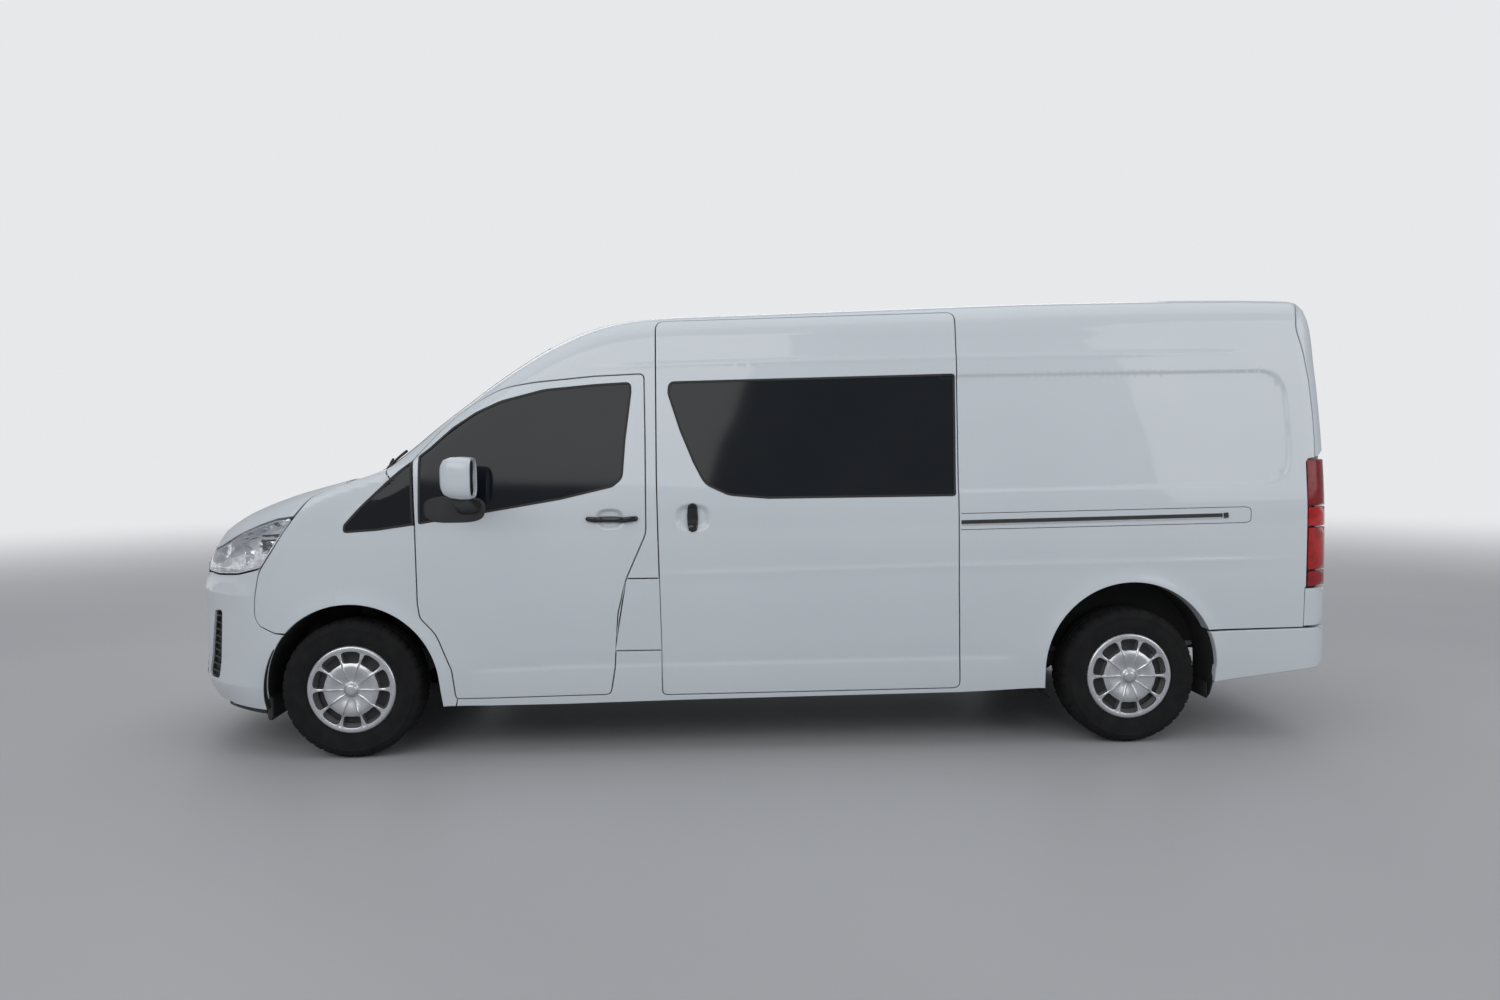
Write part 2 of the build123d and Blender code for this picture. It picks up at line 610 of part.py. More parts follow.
with BuildPart() as front_glass_left:
    add(glass_pane(side_prism(FRONT_WINDOW, -SEAT_GAP)))

with BuildPart() as front_glass_right:
    add(mirror(front_glass_left.part, about=Plane.XZ, mode=Mode.PRIVATE))

with BuildPart() as sliding_door_left:
    add(DOOR_SHELL)
    add(side_prism(SLIDING_DOOR, inner=DOOR_INNER), mode=Mode.INTERSECT)
    add(side_prism(SLIDING_WINDOW), mode=Mode.SUBTRACT)

with BuildPart() as sliding_door_right:
    add(mirror(sliding_door_left.part, about=Plane.XZ, mode=Mode.PRIVATE))

with BuildPart() as side_glass:
    add(both_sides(glass_pane(side_prism(SLIDING_WINDOW, -SEAT_GAP))))
    add(both_sides(glass_pane(side_prism(QUARTER_WINDOW, -SEAT_GAP))))

with BuildPart() as windscreen:
    add(less(cabin(GLASS_SET_IN), cabin(GLASS_SET_IN + GLASS_THICK)))
    add(front_prism(WINDSCREEN, screen_low, screen_high, -SEAT_GAP), mode=Mode.INTERSECT)

with BuildPart() as tailgate_form:
    add(across_prism(TAILGATE_SIDE))
    add(tailgate_low)

with BuildPart() as tailgate:
    add(DOOR_SHELL)
    add(tailgate_form.part, mode=Mode.INTERSECT)
    add(tail_window_hole, mode=Mode.SUBTRACT)

with BuildPart() as tailgate_glass:
    add(glass_pane(front_prism(TAIL_WINDOW, AXLE_R + TAIL_ZONE, REAR_END, -SEAT_GAP)))

with BuildPart() as taillights:
    add(DOOR_SHELL)
    add(lamp_box, mode=Mode.INTERSECT)

with BuildPart() as rear_bumper:
    add(OUTER)
    add(Location((BUMPER_PROUD, 0, 0)) * OUTER)
    add(across_prism(BUMPER_REAR), mode=Mode.INTERSECT)
    add(body_form(FRAME_WALL), mode=Mode.SUBTRACT)
    add(both_sides(rear_arch), mode=Mode.SUBTRACT)


# ---------------------------------------------------------------- floor and chassis
FOOTWELL_HALF = FRONT_HOUSE_IN - 4
CAB_FLOOR_FRONT = AXLE_F + 442
FLOOR_END = AXLE_R + BODY_TAIL - FRAME_WALL - 2
HOUSE_LENGTH = ARCH_RADIUS_REAR + LINER_WALL
LOAD_BED_RISE = 6.0
LOAD_BED_HALF = REAR_HOUSE_IN - 20
with BuildPart() as floor_pan:
    add(block((CAB_FLOOR_FRONT, FLOOR_END), (-FLOOR_HALF, FLOOR_HALF), (FLOOR_BASE, FLOOR_TOP)))
    for side in (-1, 1):
        with Locations((AXLE_R, side * (REAR_HOUSE_IN + FLOOR_HALF) / 2, FLOOR_TOP)):
            Box(2 * HOUSE_LENGTH + 2 * SEAM, FLOOR_HALF - REAR_HOUSE_IN + 2 * SEAM, 4 * FLOOR_THICK,
                mode=Mode.SUBTRACT)
    footwell = (-FOOTWELL_HALF, FOOTWELL_HALF)
    bulkhead = (AXLE_F + BULKHEAD_X, AXLE_F + BULKHEAD_X + BULKHEAD_THICK)
    add(block((bulkhead[0], CAB_FLOOR_FRONT), footwell, (FLOOR_BASE, FLOOR_TOP)))
    add(block(bulkhead, footwell, (FLOOR_BASE, BULKHEAD_TOP)))
    add(block(bulkhead, (-BULKHEAD_HALF, BULKHEAD_HALF), (BULKHEAD_SHOULDER, BULKHEAD_TOP)))
    add(block((AXLE_R - 1000, FLOOR_END - 20), (-LOAD_BED_HALF, LOAD_BED_HALF),
              (FLOOR_TOP, FLOOR_TOP + LOAD_BED_RISE)))
    add(body_form(FRAME_WALL + SEAM), mode=Mode.INTERSECT)

RAIL_TOP = FLOOR_BASE
RAIL_BOTTOM = RAIL_TOP - RAIL_HEIGHT
RAIL_FRONT = AXLE_F - 800
RAIL_END = AXLE_R + 960
SPRING_Y = 595.0
SPRING_REACH = 690.0
SPRING_WIDTH = 70.0
CROSSMEMBERS = [AXLE_F + 900, AXLE_F + 1460, AXLE_R - 1250, AXLE_R - SPRING_REACH, AXLE_R + 215]
with BuildPart() as chassis_rails:
    for side in (-1, 1):
        y_in, y_out = sorted((side * RAIL_IN, side * RAIL_OUT))
        add(block((RAIL_FRONT, RAIL_END), (y_in, y_out), (RAIL_BOTTOM, RAIL_TOP)))
        for x in (AXLE_R - SPRING_REACH, AXLE_R + SPRING_REACH):
            y_in, y_out = sorted((side * (RAIL_OUT - 5), side * (SPRING_Y + SPRING_WIDTH / 2)))
            add(block((x - 45, x + 45), (y_in, y_out), (RAIL_TOP - 90, RAIL_TOP)))
    for x in CROSSMEMBERS:
        add(block((x - 35, x + 35), (-RAIL_IN, RAIL_IN), (RAIL_TOP - 60, RAIL_TOP)))
    add(block((RAIL_FRONT - 30, RAIL_FRONT), (-RAIL_OUT, RAIL_OUT), (RAIL_BOTTOM, RAIL_TOP)))
    tow_face = RAIL_END + 12
    add(block((RAIL_END, tow_face), (-RAIL_OUT, RAIL_OUT), (RAIL_BOTTOM, RAIL_TOP)))
    with BuildSketch(Plane.YZ.offset(tow_face)):
        with Locations((0, (RAIL_BOTTOM + RAIL_TOP) / 2)):
            with GridLocations(TOW_SPACING_Y, TOW_SPACING_Z, 2, 2):
                Circle(TOW_HOLE_RADIUS)
    extrude(amount=-12, mode=Mode.SUBTRACT)

SUBFRAME_TOP = 330.0
ENGINE = ((AXLE_F - 640, AXLE_F - 70), (-260, 260), (SUBFRAME_TOP, 960))
with BuildPart() as engine:
    add(block(*ENGINE))

GEARBOX_END = AXLE_F + 560
with BuildPart() as gearbox:
    add(block((AXLE_F - 70, GEARBOX_END), (-165, 165), (SUBFRAME_TOP, FLOOR_BASE - 12)))
    add(block((AXLE_F + 300, AXLE_F + 360), (-RAIL_IN, RAIL_IN), (RAIL_BOTTOM - 40, RAIL_BOTTOM + 20)))

RADIATOR_X = AXLE_F - 790
with BuildPart() as radiator:
    add(block((RADIATOR_X, RADIATOR_X + 55), (-400, 400), (RAIL_TOP, 930)))
    add(block((RADIATOR_X, RADIATOR_X + 55), (-RAIL_OUT, RAIL_OUT), (RAIL_TOP, RAIL_TOP + 30)))
    for y in (-300, 300):
        add(block((RADIATOR_X + 10, RADIATOR_X + 40), (y - 20, y + 20), (930, 1100)))
    add(body_form(NOSE_WALL + SEAT_GAP), mode=Mode.INTERSECT)

ARM_Z = TYRE_RADIUS - 150
ARM_HALF = 16.0              # half thickness of a lower arm
ARM_ROOT = 400.0             # half width where the lower arms start
PIN_RADIUS = 24.0
STRUT_Y = 648.0
STRUT_LUG_Z = TYRE_RADIUS + 128
STRUT_TOP_Y = 590.0
STRUT_PAD = 60.0
STRUT_TOP = TYRE_RADIUS + math.sqrt(ARCH_RADIUS_FRONT**2 - (STRUT_PAD + 8) ** 2) - SEAM
with BuildPart() as front_suspension:
    add(block((AXLE_F - 150, AXLE_F + 150), (-RAIL_OUT, RAIL_OUT), (SUBFRAME_TOP - 90, SUBFRAME_TOP)))
    for side in (-1, 1):
        y_in, y_out = sorted((side * RAIL_IN, side * RAIL_OUT))
        add(block((AXLE_F - 60, AXLE_F + 60), (y_in, y_out), (SUBFRAME_TOP, RAIL_BOTTOM)))
        arm = [(150, ARM_ROOT, 0), (PIN_RADIUS, 720, 20), (PIN_RADIUS, KINGPIN_Y + PIN_RADIUS, 22)]
        with BuildSketch(Plane.XY.offset(ARM_Z - ARM_HALF)):
            with BuildLine():
                rounded([(AXLE_F - x, side * y, r) for x, y, r in arm]
                        + [(AXLE_F + x, side * y, r) for x, y, r in arm[::-1]])
            make_face()
        extrude(amount=2 * ARM_HALF)
        post = sorted((side * ARM_ROOT, side * (ARM_ROOT + 70)))
        lug = sorted((side * (STRUT_Y - 22), side * (KINGPIN_Y + 22)))
        add(block((AXLE_F - 150, AXLE_F + 150), post, (ARM_Z - ARM_HALF, SUBFRAME_TOP)))
        add(block((AXLE_F - 22, AXLE_F + 22), lug, (STRUT_LUG_Z, STRUT_LUG_Z + 24)))
        lean = (0, side * (STRUT_TOP_Y - STRUT_Y), STRUT_TOP - STRUT_LUG_Z)
        for radius, share in ((24, 1.0), (46, 0.55)):
            foot = Plane((AXLE_F, side * STRUT_Y, STRUT_LUG_Z), z_dir=lean).offset((1 - share) * lean[2])
            with BuildSketch(foot):
                Circle(radius)
            extrude(amount=share * lean[2] - 12)
        with BuildSketch(Plane.XY.offset(STRUT_TOP - 20)):
            with Locations((AXLE_F, side * STRUT_TOP_Y)):
                Circle(STRUT_PAD)
        extrude(amount=20)


def knuckle(side):
    """Upright with lower and upper bosses on the kingpin and the stub that carries the wheel hub."""
    with BuildPart() as body:
        with BuildSketch(Plane.XY.offset(ARM_Z + ARM_HALF + SEAT_GAP)):
            with Locations((AXLE_F, side * KINGPIN_Y)):
                Circle(PIN_RADIUS)
        extrude(amount=STRUT_LUG_Z - ARM_Z - ARM_HALF - 2 * SEAT_GAP)
        with BuildSketch(Plane.XZ.offset(-side * (KINGPIN_Y - 35))):
            with Locations((AXLE_F, TYRE_RADIUS)):
                Circle(STEER_HUB_RADIUS)
        extrude(amount=-side * 95)
        with BuildSketch(Plane.XZ.offset(-side * (KINGPIN_Y + 60))):
            with Locations((AXLE_F, TYRE_RADIUS)):
                Circle(HUB_BORE - RUNNING_GAP)
        extrude(amount=-side * 60)
    return body.part


with BuildPart() as knuckle_left:
    add(knuckle(-1))

with BuildPart() as knuckle_right:
    add(knuckle(1))

AXLE_TUBE = 50.0
with BuildPart() as rear_axle:
    with BuildSketch(Plane.XZ.offset(-TRACK_REAR / 2 + 75)):
        with Locations((AXLE_R, TYRE_RADIUS)):
            Circle(AXLE_TUBE)
    extrude(amount=TRACK_REAR - 150)
    with BuildSketch(Plane.XZ.offset(-TRACK_REAR / 2 - HUB_FACE - 40)):
        with Locations((AXLE_R, TYRE_RADIUS)):
            Circle(HUB_BORE - RUNNING_GAP)
    extrude(amount=TRACK_REAR + 2 * HUB_FACE + 80)
    with BuildSketch(Plane.YZ.offset(AXLE_R - 130)):
        with Locations((0, TYRE_RADIUS)):
            Circle(125)
    extrude(amount=240)
    shaft_start = (GEARBOX_END + 1, 0, 400)
    shaft_run = (AXLE_R - 130 - GEARBOX_END, 0, TYRE_RADIUS - 400)
    with BuildSketch(Plane(shaft_start, z_dir=shaft_run)):
        Circle(38)
    extrude(amount=math.hypot(shaft_run[0], shaft_run[2]) + 4)

SPRING_PAD = TYRE_RADIUS + AXLE_TUBE
with BuildPart() as leaf_springs:
    for side in (-1, 1):
        with BuildSketch(Plane.XZ.offset(-side * SPRING_Y - SPRING_WIDTH / 2)):
            with BuildLine():
                low = ThreePointArc((AXLE_R - SPRING_REACH, RAIL_TOP - 102), (AXLE_R, SPRING_PAD),
                                    (AXLE_R + SPRING_REACH, RAIL_TOP - 102))
                high = ThreePointArc((AXLE_R - SPRING_REACH, RAIL_TOP - 90), (AXLE_R, SPRING_PAD + 36),
                                     (AXLE_R + SPRING_REACH, RAIL_TOP - 90))
                Line(low @ 0, high @ 0)
                Line(low @ 1, high @ 1)
            make_face()
        extrude(amount=SPRING_WIDTH)

EXHAUST_Y, EXHAUST_Z = -300.0, 455.0
MUFFLER_FRONT, MUFFLER_REAR = AXLE_R - 1200, AXLE_R - 800
with BuildPart() as exhaust:
    for radius, front, rear in ((28, AXLE_F + 620, AXLE_R + 230), (85, MUFFLER_FRONT, MUFFLER_REAR)):
        with BuildSketch(Plane.YZ.offset(front)):
            with Locations((EXHAUST_Y, EXHAUST_Z)):
                Circle(radius)
        extrude(amount=rear - front)
    for x in (AXLE_F + 800, MUFFLER_FRONT + 100, MUFFLER_REAR + 30):
        add(block((x - 8, x + 8), (EXHAUST_Y - 20, EXHAUST_Y + 20), (EXHAUST_Z, FLOOR_BASE)))

with BuildPart() as fuel_tank:
    add(block((AXLE_F + 1520, AXLE_R - 1320), (70, 400), (300, FLOOR_BASE)))
    fillet(fuel_tank.edges().filter_by(Axis.X), radius=40)

# ---------------------------------------------------------------- wheels


def tyre(x, y):
    """Rounded tyre ring round a cross axle."""
    half = TYRE_WIDTH / 2
    with BuildPart() as body:
        with BuildSketch(Plane((x, y, TYRE_RADIUS), x_dir=(1, 0, 0), z_dir=(0, 0, 1))):
            with BuildLine():
                rounded([(RIM_RADIUS, -RIM_WIDTH / 2, 0), (RIM_RADIUS + 40, -half, 30),
                         (TYRE_RADIUS - 50, -half, 60), (TYRE_RADIUS, -half + 22, 34),
                         (TYRE_RADIUS, half - 22, 34), (TYRE_RADIUS - 50, half, 60),
                         (RIM_RADIUS + 40, half, 30), (RIM_RADIUS, RIM_WIDTH / 2, 0)])
            make_face()
        revolve(axis=Axis((x, y, TYRE_RADIUS), (0, 1, 0)))
    return body.part


def rim(x, y, side, bore_from):
    """Rim barrel with its hub disc and a covered face of spokes; side is -1 on the left."""
    edge = side * RIM_WIDTH / 2
    face = side * (RIM_WIDTH / 2 - 6)
    with BuildPart() as body:
        with BuildSketch(Plane.XZ.offset(-(y - edge))):
            with Locations((x, TYRE_RADIUS)):
                Circle(RIM_RADIUS)
                Circle(RIM_RADIUS - 12, mode=Mode.SUBTRACT)
        extrude(amount=-2 * edge)
        with BuildSketch(Plane.XZ.offset(-(y + face))):
            with Locations((x, TYRE_RADIUS)):
                Circle(RIM_RADIUS)
                with PolarLocations(0.79 * COVER_RADIUS, SPOKES, start_angle=90):
                    SlotOverall(52, 26, mode=Mode.SUBTRACT)
        extrude(amount=side * 14)
        with BuildSketch(Plane.XZ.offset(-(y + face))):
            with Locations((x, TYRE_RADIUS)):
                Circle(85)
        extrude(amount=side * (RIM_WIDTH / 2 - 6 - bore_from))
        with BuildSketch(Plane.XZ.offset(-(y + side * bore_from))):
            with Locations((x, TYRE_RADIUS)):
                Circle(HUB_BORE)
        extrude(amount=-side * 60, mode=Mode.SUBTRACT)
    return body.part


WHEELS = {
    "front_left": (AXLE_F, -TRACK_FRONT / 2, -1),
    "front_right": (AXLE_F, TRACK_FRONT / 2, 1),
    "rear_left": (AXLE_R, -TRACK_REAR / 2, -1),
    "rear_right": (AXLE_R, TRACK_REAR / 2, 1),
}
wheel_parts = {}
for place, (x, y, side) in WHEELS.items():
    with BuildPart() as wheel_tyre:
        add(tyre(x, y))
    with BuildPart() as wheel_rim:
        add(rim(x, y, side, HUB_FACE))
    wheel_parts[place + "_tyre"] = wheel_tyre
    wheel_parts[place + "_rim"] = wheel_rim

SPARE_X = AXLE_R + 610
SPARE_Z = FLOOR_BASE - 20 - TYRE_WIDTH / 2
with BuildPart() as spare_wheel:
    with BuildSketch(Plane.XZ):
        with Locations((SPARE_X, SPARE_Z)):
            with Locations(((RIM_RADIUS + TYRE_RADIUS) / 2, 0)):
                RectangleRounded(TYRE_RADIUS - RIM_RADIUS, TYRE_WIDTH, 50)
        with Locations((SPARE_X + RIM_RADIUS - 4, SPARE_Z)):
            Rectangle(18, RIM_WIDTH - 30)
        with Locations((SPARE_X + RIM_RADIUS / 2, SPARE_Z + 40)):
            Rectangle(RIM_RADIUS, 14)
        with Locations((SPARE_X + 30, (SPARE_Z + 40 + FLOOR_BASE) / 2)):
            Rectangle(60, FLOOR_BASE - SPARE_Z - 40)
    revolve(axis=Axis((SPARE_X, 0, 0), (0, 0, 1)))

# ---------------------------------------------------------------- cab and seats
column = math.radians(STEER_COLUMN_ANGLE)
column_dir = (math.cos(column), 0, math.sin(column))
wheel_centre = (AXLE_F + 790, DRIVER_Y, 1150)
COLUMN_STUB = 90.0


def along_column(distance):
    """Point on the steering column, distance behind the steering wheel's middle when positive."""
    return tuple(c + distance * d for c, d in zip(wheel_centre, column_dir))


with BuildPart() as dashboard:
    add(across_prism(from_front([
        (-40, 880, 20), (-40, 1268, 10), (110, 1285, 30), (330, 1240, 60), (420, 1150, 50),
        (400, 960, 40), (300, 860, 30)])))
    add(block((FRONT_END, REAR_END), (-860, 860), (0, ABOVE)), mode=Mode.INTERSECT)
    with BuildSketch(Plane(along_column(-COLUMN_STUB), z_dir=column_dir)):
        Circle(44)
    extrude(amount=-400)

with BuildPart() as steering_wheel:
    with BuildSketch(Plane(wheel_centre, x_dir=(0, 1, 0), z_dir=column_dir)):
        Circle(STEERING_WHEEL_RADIUS)
        Circle(STEERING_WHEEL_RADIUS - 30, mode=Mode.SUBTRACT)
        for angle in (0, 180, 270):
            with PolarLocations(STEERING_WHEEL_RADIUS / 2, 1, start_angle=angle):
                Rectangle(STEERING_WHEEL_RADIUS - 16, 34)
        Circle(62)
    extrude(amount=13, both=True)
    with BuildSketch(Plane(along_column(-COLUMN_STUB + SEAT_GAP), z_dir=column_dir)):
        Circle(24)
    extrude(amount=COLUMN_STUB)

SEAT_BASE_TOP = 860.0


def seat(x, y, width, places, base_top=SEAT_BASE_TOP):
    """Seat on its box: cushion, leaning back and a head restraint for each place."""
    half = width / 2
    back_foot = x + 470
    with BuildPart() as body:
        add(block((x + 40, back_foot - 20), (y - half + 60, y + half - 60), (FLOOR_TOP, base_top)))
        with BuildSketch(Plane.XZ.offset(-y - half)):
            with BuildLine():
                rounded([(x, base_top, 30), (x - 10, base_top + 130, 50),
                         (back_foot - 70, base_top + 110, 30), (back_foot + 60, base_top + 690, 40),
                         (back_foot + 170, base_top + 680, 40), (back_foot + 40, base_top, 40)])
            make_face()
        extrude(amount=width)
        for place in range(places):
            place_y = y - half + (place + 0.5) * width / places
            add(block((back_foot + 84, back_foot + 164), (place_y - 60, place_y + 60),
                      (base_top + 650, base_top + 740)))
            with BuildSketch(Plane.XZ.offset(-place_y - 130)):
                with BuildLine():
                    rounded([(back_foot + 66, base_top + 725, 30), (back_foot + 106, base_top + 900, 40),
                             (back_foot + 190, base_top + 895, 40), (back_foot + 176, base_top + 725, 30)])
                make_face()
            extrude(amount=260)
    return body.part


with BuildPart() as front_seats:
    add(seat(AXLE_F + 920, DRIVER_Y, 520, 1))
    add(seat(AXLE_F + 920, -DRIVER_Y, 520, 1))

with BuildPart() as rear_bench:
    add(seat(AXLE_F + 1960, 0, 1500, 3))

# ---------------------------------------------------------------- outside fittings
MIRROR_OUT = HALF + 250
with BuildPart() as mirror_left:
    with BuildSketch(Plane.YZ.offset(AXLE_F + MIRROR_X - 75)):
        with BuildLine():
            rounded([(-MIRROR_OUT, MIRROR_Z - 50, 50), (-MIRROR_OUT, MIRROR_Z + 118, 50),
                     (-MIRROR_OUT + 190, MIRROR_Z + 118, 50), (-MIRROR_OUT + 190, MIRROR_Z - 170, 40),
                     (-MIRROR_OUT + 110, MIRROR_Z - 200, 40)])
        make_face()
    extrude(amount=130)
    add(block((AXLE_F + MIRROR_X - 50, AXLE_F + MIRROR_X + 40), (-MIRROR_OUT + 130, -HALF + 60),
              (MIRROR_FOOT, MIRROR_FOOT + 55)))
    add(body_form(0), mode=Mode.SUBTRACT)
    add(block((FRONT_END, REAR_END), (-HALF + 40, 0), (0, ABOVE)), mode=Mode.SUBTRACT)

with BuildPart() as mirror_right:
    add(mirror(mirror_left.part, about=Plane.XZ, mode=Mode.PRIVATE))

RAIL_SLOT = ((AXLE_F + 3005, AXLE_R + 598), (1098, 1178))
RAIL_PROUD = 6.0
with BuildPart() as rail_strip:
    add(less(body_form(-RAIL_PROUD), OUTER))
    add(side_box(RAIL_SLOT[0][0], RAIL_SLOT[0][1], 700, *RAIL_SLOT[1]), mode=Mode.INTERSECT)

with BuildPart() as slide_rails:
    add(both_sides(rail_strip.part))

pieces = {
    "side_frame_left": side_frame_left, "side_frame_right": side_frame_right, "roof_panel": roof_panel,
    "cowl_panel": cowl_panel, "front_fender_left": front_fender_left,
    "front_fender_right": front_fender_right, "front_bumper": front_bumper, "rear_bumper": rear_bumper,
    "grille": grille, "headlights": headlights, "taillights": taillights, "windscreen": windscreen,
    "side_glass": side_glass, "sliding_door_left": sliding_door_left,
    "sliding_door_right": sliding_door_right, "slide_rails": slide_rails, "floor_pan": floor_pan,
    "chassis_rails": chassis_rails, "engine": engine, "gearbox": gearbox, "radiator": radiator,
    "front_suspension": front_suspension, "rear_axle": rear_axle, "leaf_springs": leaf_springs,
    "exhaust": exhaust, "fuel_tank": fuel_tank, "spare_wheel": spare_wheel, "dashboard": dashboard,
    "front_seats": front_seats, "rear_bench": rear_bench, "front_door_left": front_door_left,
    "front_door_right": front_door_right, "front_glass_left": front_glass_left,
    "front_glass_right": front_glass_right, "mirror_left": mirror_left, "mirror_right": mirror_right,
    "tailgate": tailgate, "tailgate_glass": tailgate_glass, "hood": hood, "knuckle_left": knuckle_left,
    "knuckle_right": knuckle_right, "steering_wheel": steering_wheel, **wheel_parts,
}
for name, piece in pieces.items():
    piece.part.label = name
    export_step(piece.part, f"parts/{name}.step")
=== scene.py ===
"""Looks of a high-roof, long-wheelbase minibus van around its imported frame.

Body places are in millimetres: x from the front axle rearwards, y to the right, z above ground.
"""
import math

import bmesh
import bpy
import numpy as np
from mathutils import Matrix, Vector
from mathutils.geometry import delaunay_2d_cdt


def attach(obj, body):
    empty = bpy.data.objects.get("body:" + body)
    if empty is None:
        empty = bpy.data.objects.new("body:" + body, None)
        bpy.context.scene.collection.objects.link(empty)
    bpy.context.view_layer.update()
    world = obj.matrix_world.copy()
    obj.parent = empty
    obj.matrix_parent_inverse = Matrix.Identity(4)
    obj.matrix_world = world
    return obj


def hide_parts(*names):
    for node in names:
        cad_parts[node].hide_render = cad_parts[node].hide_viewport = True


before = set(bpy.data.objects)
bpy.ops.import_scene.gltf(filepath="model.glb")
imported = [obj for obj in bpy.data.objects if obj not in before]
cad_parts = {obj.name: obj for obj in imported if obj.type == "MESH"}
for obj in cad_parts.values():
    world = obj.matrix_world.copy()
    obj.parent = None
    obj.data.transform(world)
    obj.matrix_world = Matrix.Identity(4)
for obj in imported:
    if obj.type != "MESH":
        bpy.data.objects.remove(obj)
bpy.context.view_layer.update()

AXLE = 1972.5                # front axle ahead of the row's origin
WHEELBASE = 3860.0
TYRE_RADIUS = 340.0
BODY_STEP = 34.0             # spacing of a panel's inner points
EDGE_STEP = 16.0             # spacing along a panel's edge
GAP = 5.0                    # shut line between panels
LIP = 2.5                    # rounding of a panel's edge
DOOR_WALL = 60.0
FRAME_WALL = 78.0

# ---------------------------------------------------------------- camera
CAMERA_AT = (1.7186 - AXLE / 1000, -6.2257, 1.5155)
YAW, PITCH, ROLL = math.radians(2.5456), math.radians(2.8952), math.radians(-0.4479)
LENS = 25.869


def link(name, data):
    obj = bpy.data.objects.new(name, data)
    bpy.context.scene.collection.objects.link(obj)
    return obj


def make_camera():
    data = bpy.data.cameras.new("camera")
    data.lens = LENS
    data.sensor_width = 36.0
    data.clip_end = 200.0
    obj = link("camera", data)
    level = math.cos(PITCH)
    ahead = Vector((math.sin(YAW) * level, math.cos(YAW) * level, -math.sin(PITCH)))
    right = Vector((math.cos(YAW), -math.sin(YAW), 0))
    up = right.cross(ahead)
    turned_right = right * math.cos(ROLL) + up * math.sin(ROLL)
    turned_up = up * math.cos(ROLL) - right * math.sin(ROLL)
    rows = Matrix((turned_right, turned_up, -ahead)).transposed().to_4x4()
    obj.matrix_world = Matrix.Translation(CAMERA_AT) @ rows
    bpy.context.scene.camera = obj


make_camera()


# ---------------------------------------------------------------- smooth functions
def curve(rows, soft, step=2.0, margin=700.0):
    """Function through (place, value) rows, straight beyond them, rounded over soft mm."""
    rows = np.array(rows, float)
    place = np.arange(rows[0, 0] - margin, rows[-1, 0] + margin, step)
    first = (rows[1, 1] - rows[0, 1]) / (rows[1, 0] - rows[0, 0])
    last = (rows[-1, 1] - rows[-2, 1]) / (rows[-1, 0] - rows[-2, 0])
    value = np.interp(place, rows[:, 0], rows[:, 1])
    value = value + np.minimum(place - rows[0, 0], 0) * first
    value = value + np.maximum(place - rows[-1, 0], 0) * last
    reach = int(3 * soft / step)
    if reach:
        weight = np.exp(-0.5 * (np.arange(-reach, reach + 1) * step / soft) ** 2)
        value = np.convolve(np.pad(value, reach, mode="edge"), weight / weight.sum(), mode="valid")
    return lambda x: np.interp(x, place, value)


def smax(a, b, k):
    """The larger of two distances, rounded where they meet."""
    h = np.maximum(k - np.abs(a - b), 0) / k
    return np.maximum(a, b) + h * h * k / 4


def smoothstep(x, low, high):
    t = np.clip((x - low) / (high - low), 0, 1)
    return t * t * (3 - 2 * t)


# ---------------------------------------------------------------- the body's skin
HALF_WIDTH = curve([(180, 934), (300, 950), (450, 963), (750, 972), (1100, 970), (1220, 965),
                    (1600, 913), (1900, 867), (2100, 830), (2300, 786)], 45)
TAPER = curve([(-400, 5), (500, 0), (3600, 0), (4900, 14)], 200)
GUTTER_LINE = curve([(1000, 1893), (1500, 1919), (2996, 1949), (4487, 1970)], 100)
GUTTER = curve([(-600, 0), (-14, 0), (0, 2.5), (14, -2.5), (90, -7), (700, -7)], 5)
GUTTER_AT = curve([(700, 0), (1150, 0), (1400, 1), (4300, 1), (4560, 0), (5000, 0)], 50)
LOW_LINE = curve([(562, 425), (1016, 440), (2973, 453), (3253, 451)], 60)
LOW = curve([(-400, 6.5), (-120, 6.5), (-8, 1.0), (6, -3.0), (70, -1.0), (200, 0), (600, 0)], 5)
LOW_AT = curve([(0, 0), (560, 0), (690, 1), (3180, 1), (3290, 0), (5000, 0)], 12)
MID_LINE = curve([(1200, 888), (1570, 893), (2917, 915), (4700, 930)], 100)
MID = curve([(-500, 0), (-40, 0), (0, 2.0), (12, -0.6), (80, 0), (500, 0)], 4)
MID_AT = curve([(900, 0), (1450, 0), (1650, 1), (4400, 1), (4700, 0), (5200, 0)], 60)
TOP_LINE = curve([(-500, 800), (-154, 1240), (52, 1356), (117, 1388), (171, 1421), (258, 1487),
                  (334, 1547), (399, 1603), (508, 1686), (618, 1767), (729, 1848), (839, 1921),
                  (951, 1990), (1066, 2046), (1158, 2087), (1289, 2127), (1421, 2149), (1613, 2163),
                  (1955, 2174), (2694, 2201), (3381, 2226), (4182, 2242), (4543, 2243),
                  (4900, 2236)], 28)
CROWN = curve([(0, 8), (800, 14), (1300, 41), (5000, 41)], 120)
SCREEN_BOW = 125.0
TAIL = curve([(0, 4915), (1500, 4915), (1870, 4897), (2080, 4872), (2300, 4832)], 60)
FRONT_ARCH = (8.0, 340.0, 420.0)
REAR_ARCH = (WHEELBASE, 384.0, 433.0)
INSET_TOP = curve([(2900, 1864), (4605, 1884)], 10)
INSET_LOW = curve([(2900, 1270), (4569, 1291)], 10)
INSET_REAR = curve([(1200, 4668), (1331, 4675), (1518, 4689), (1761, 4680), (1900, 4668)], 40)
INSET_DEPTH = 9.0
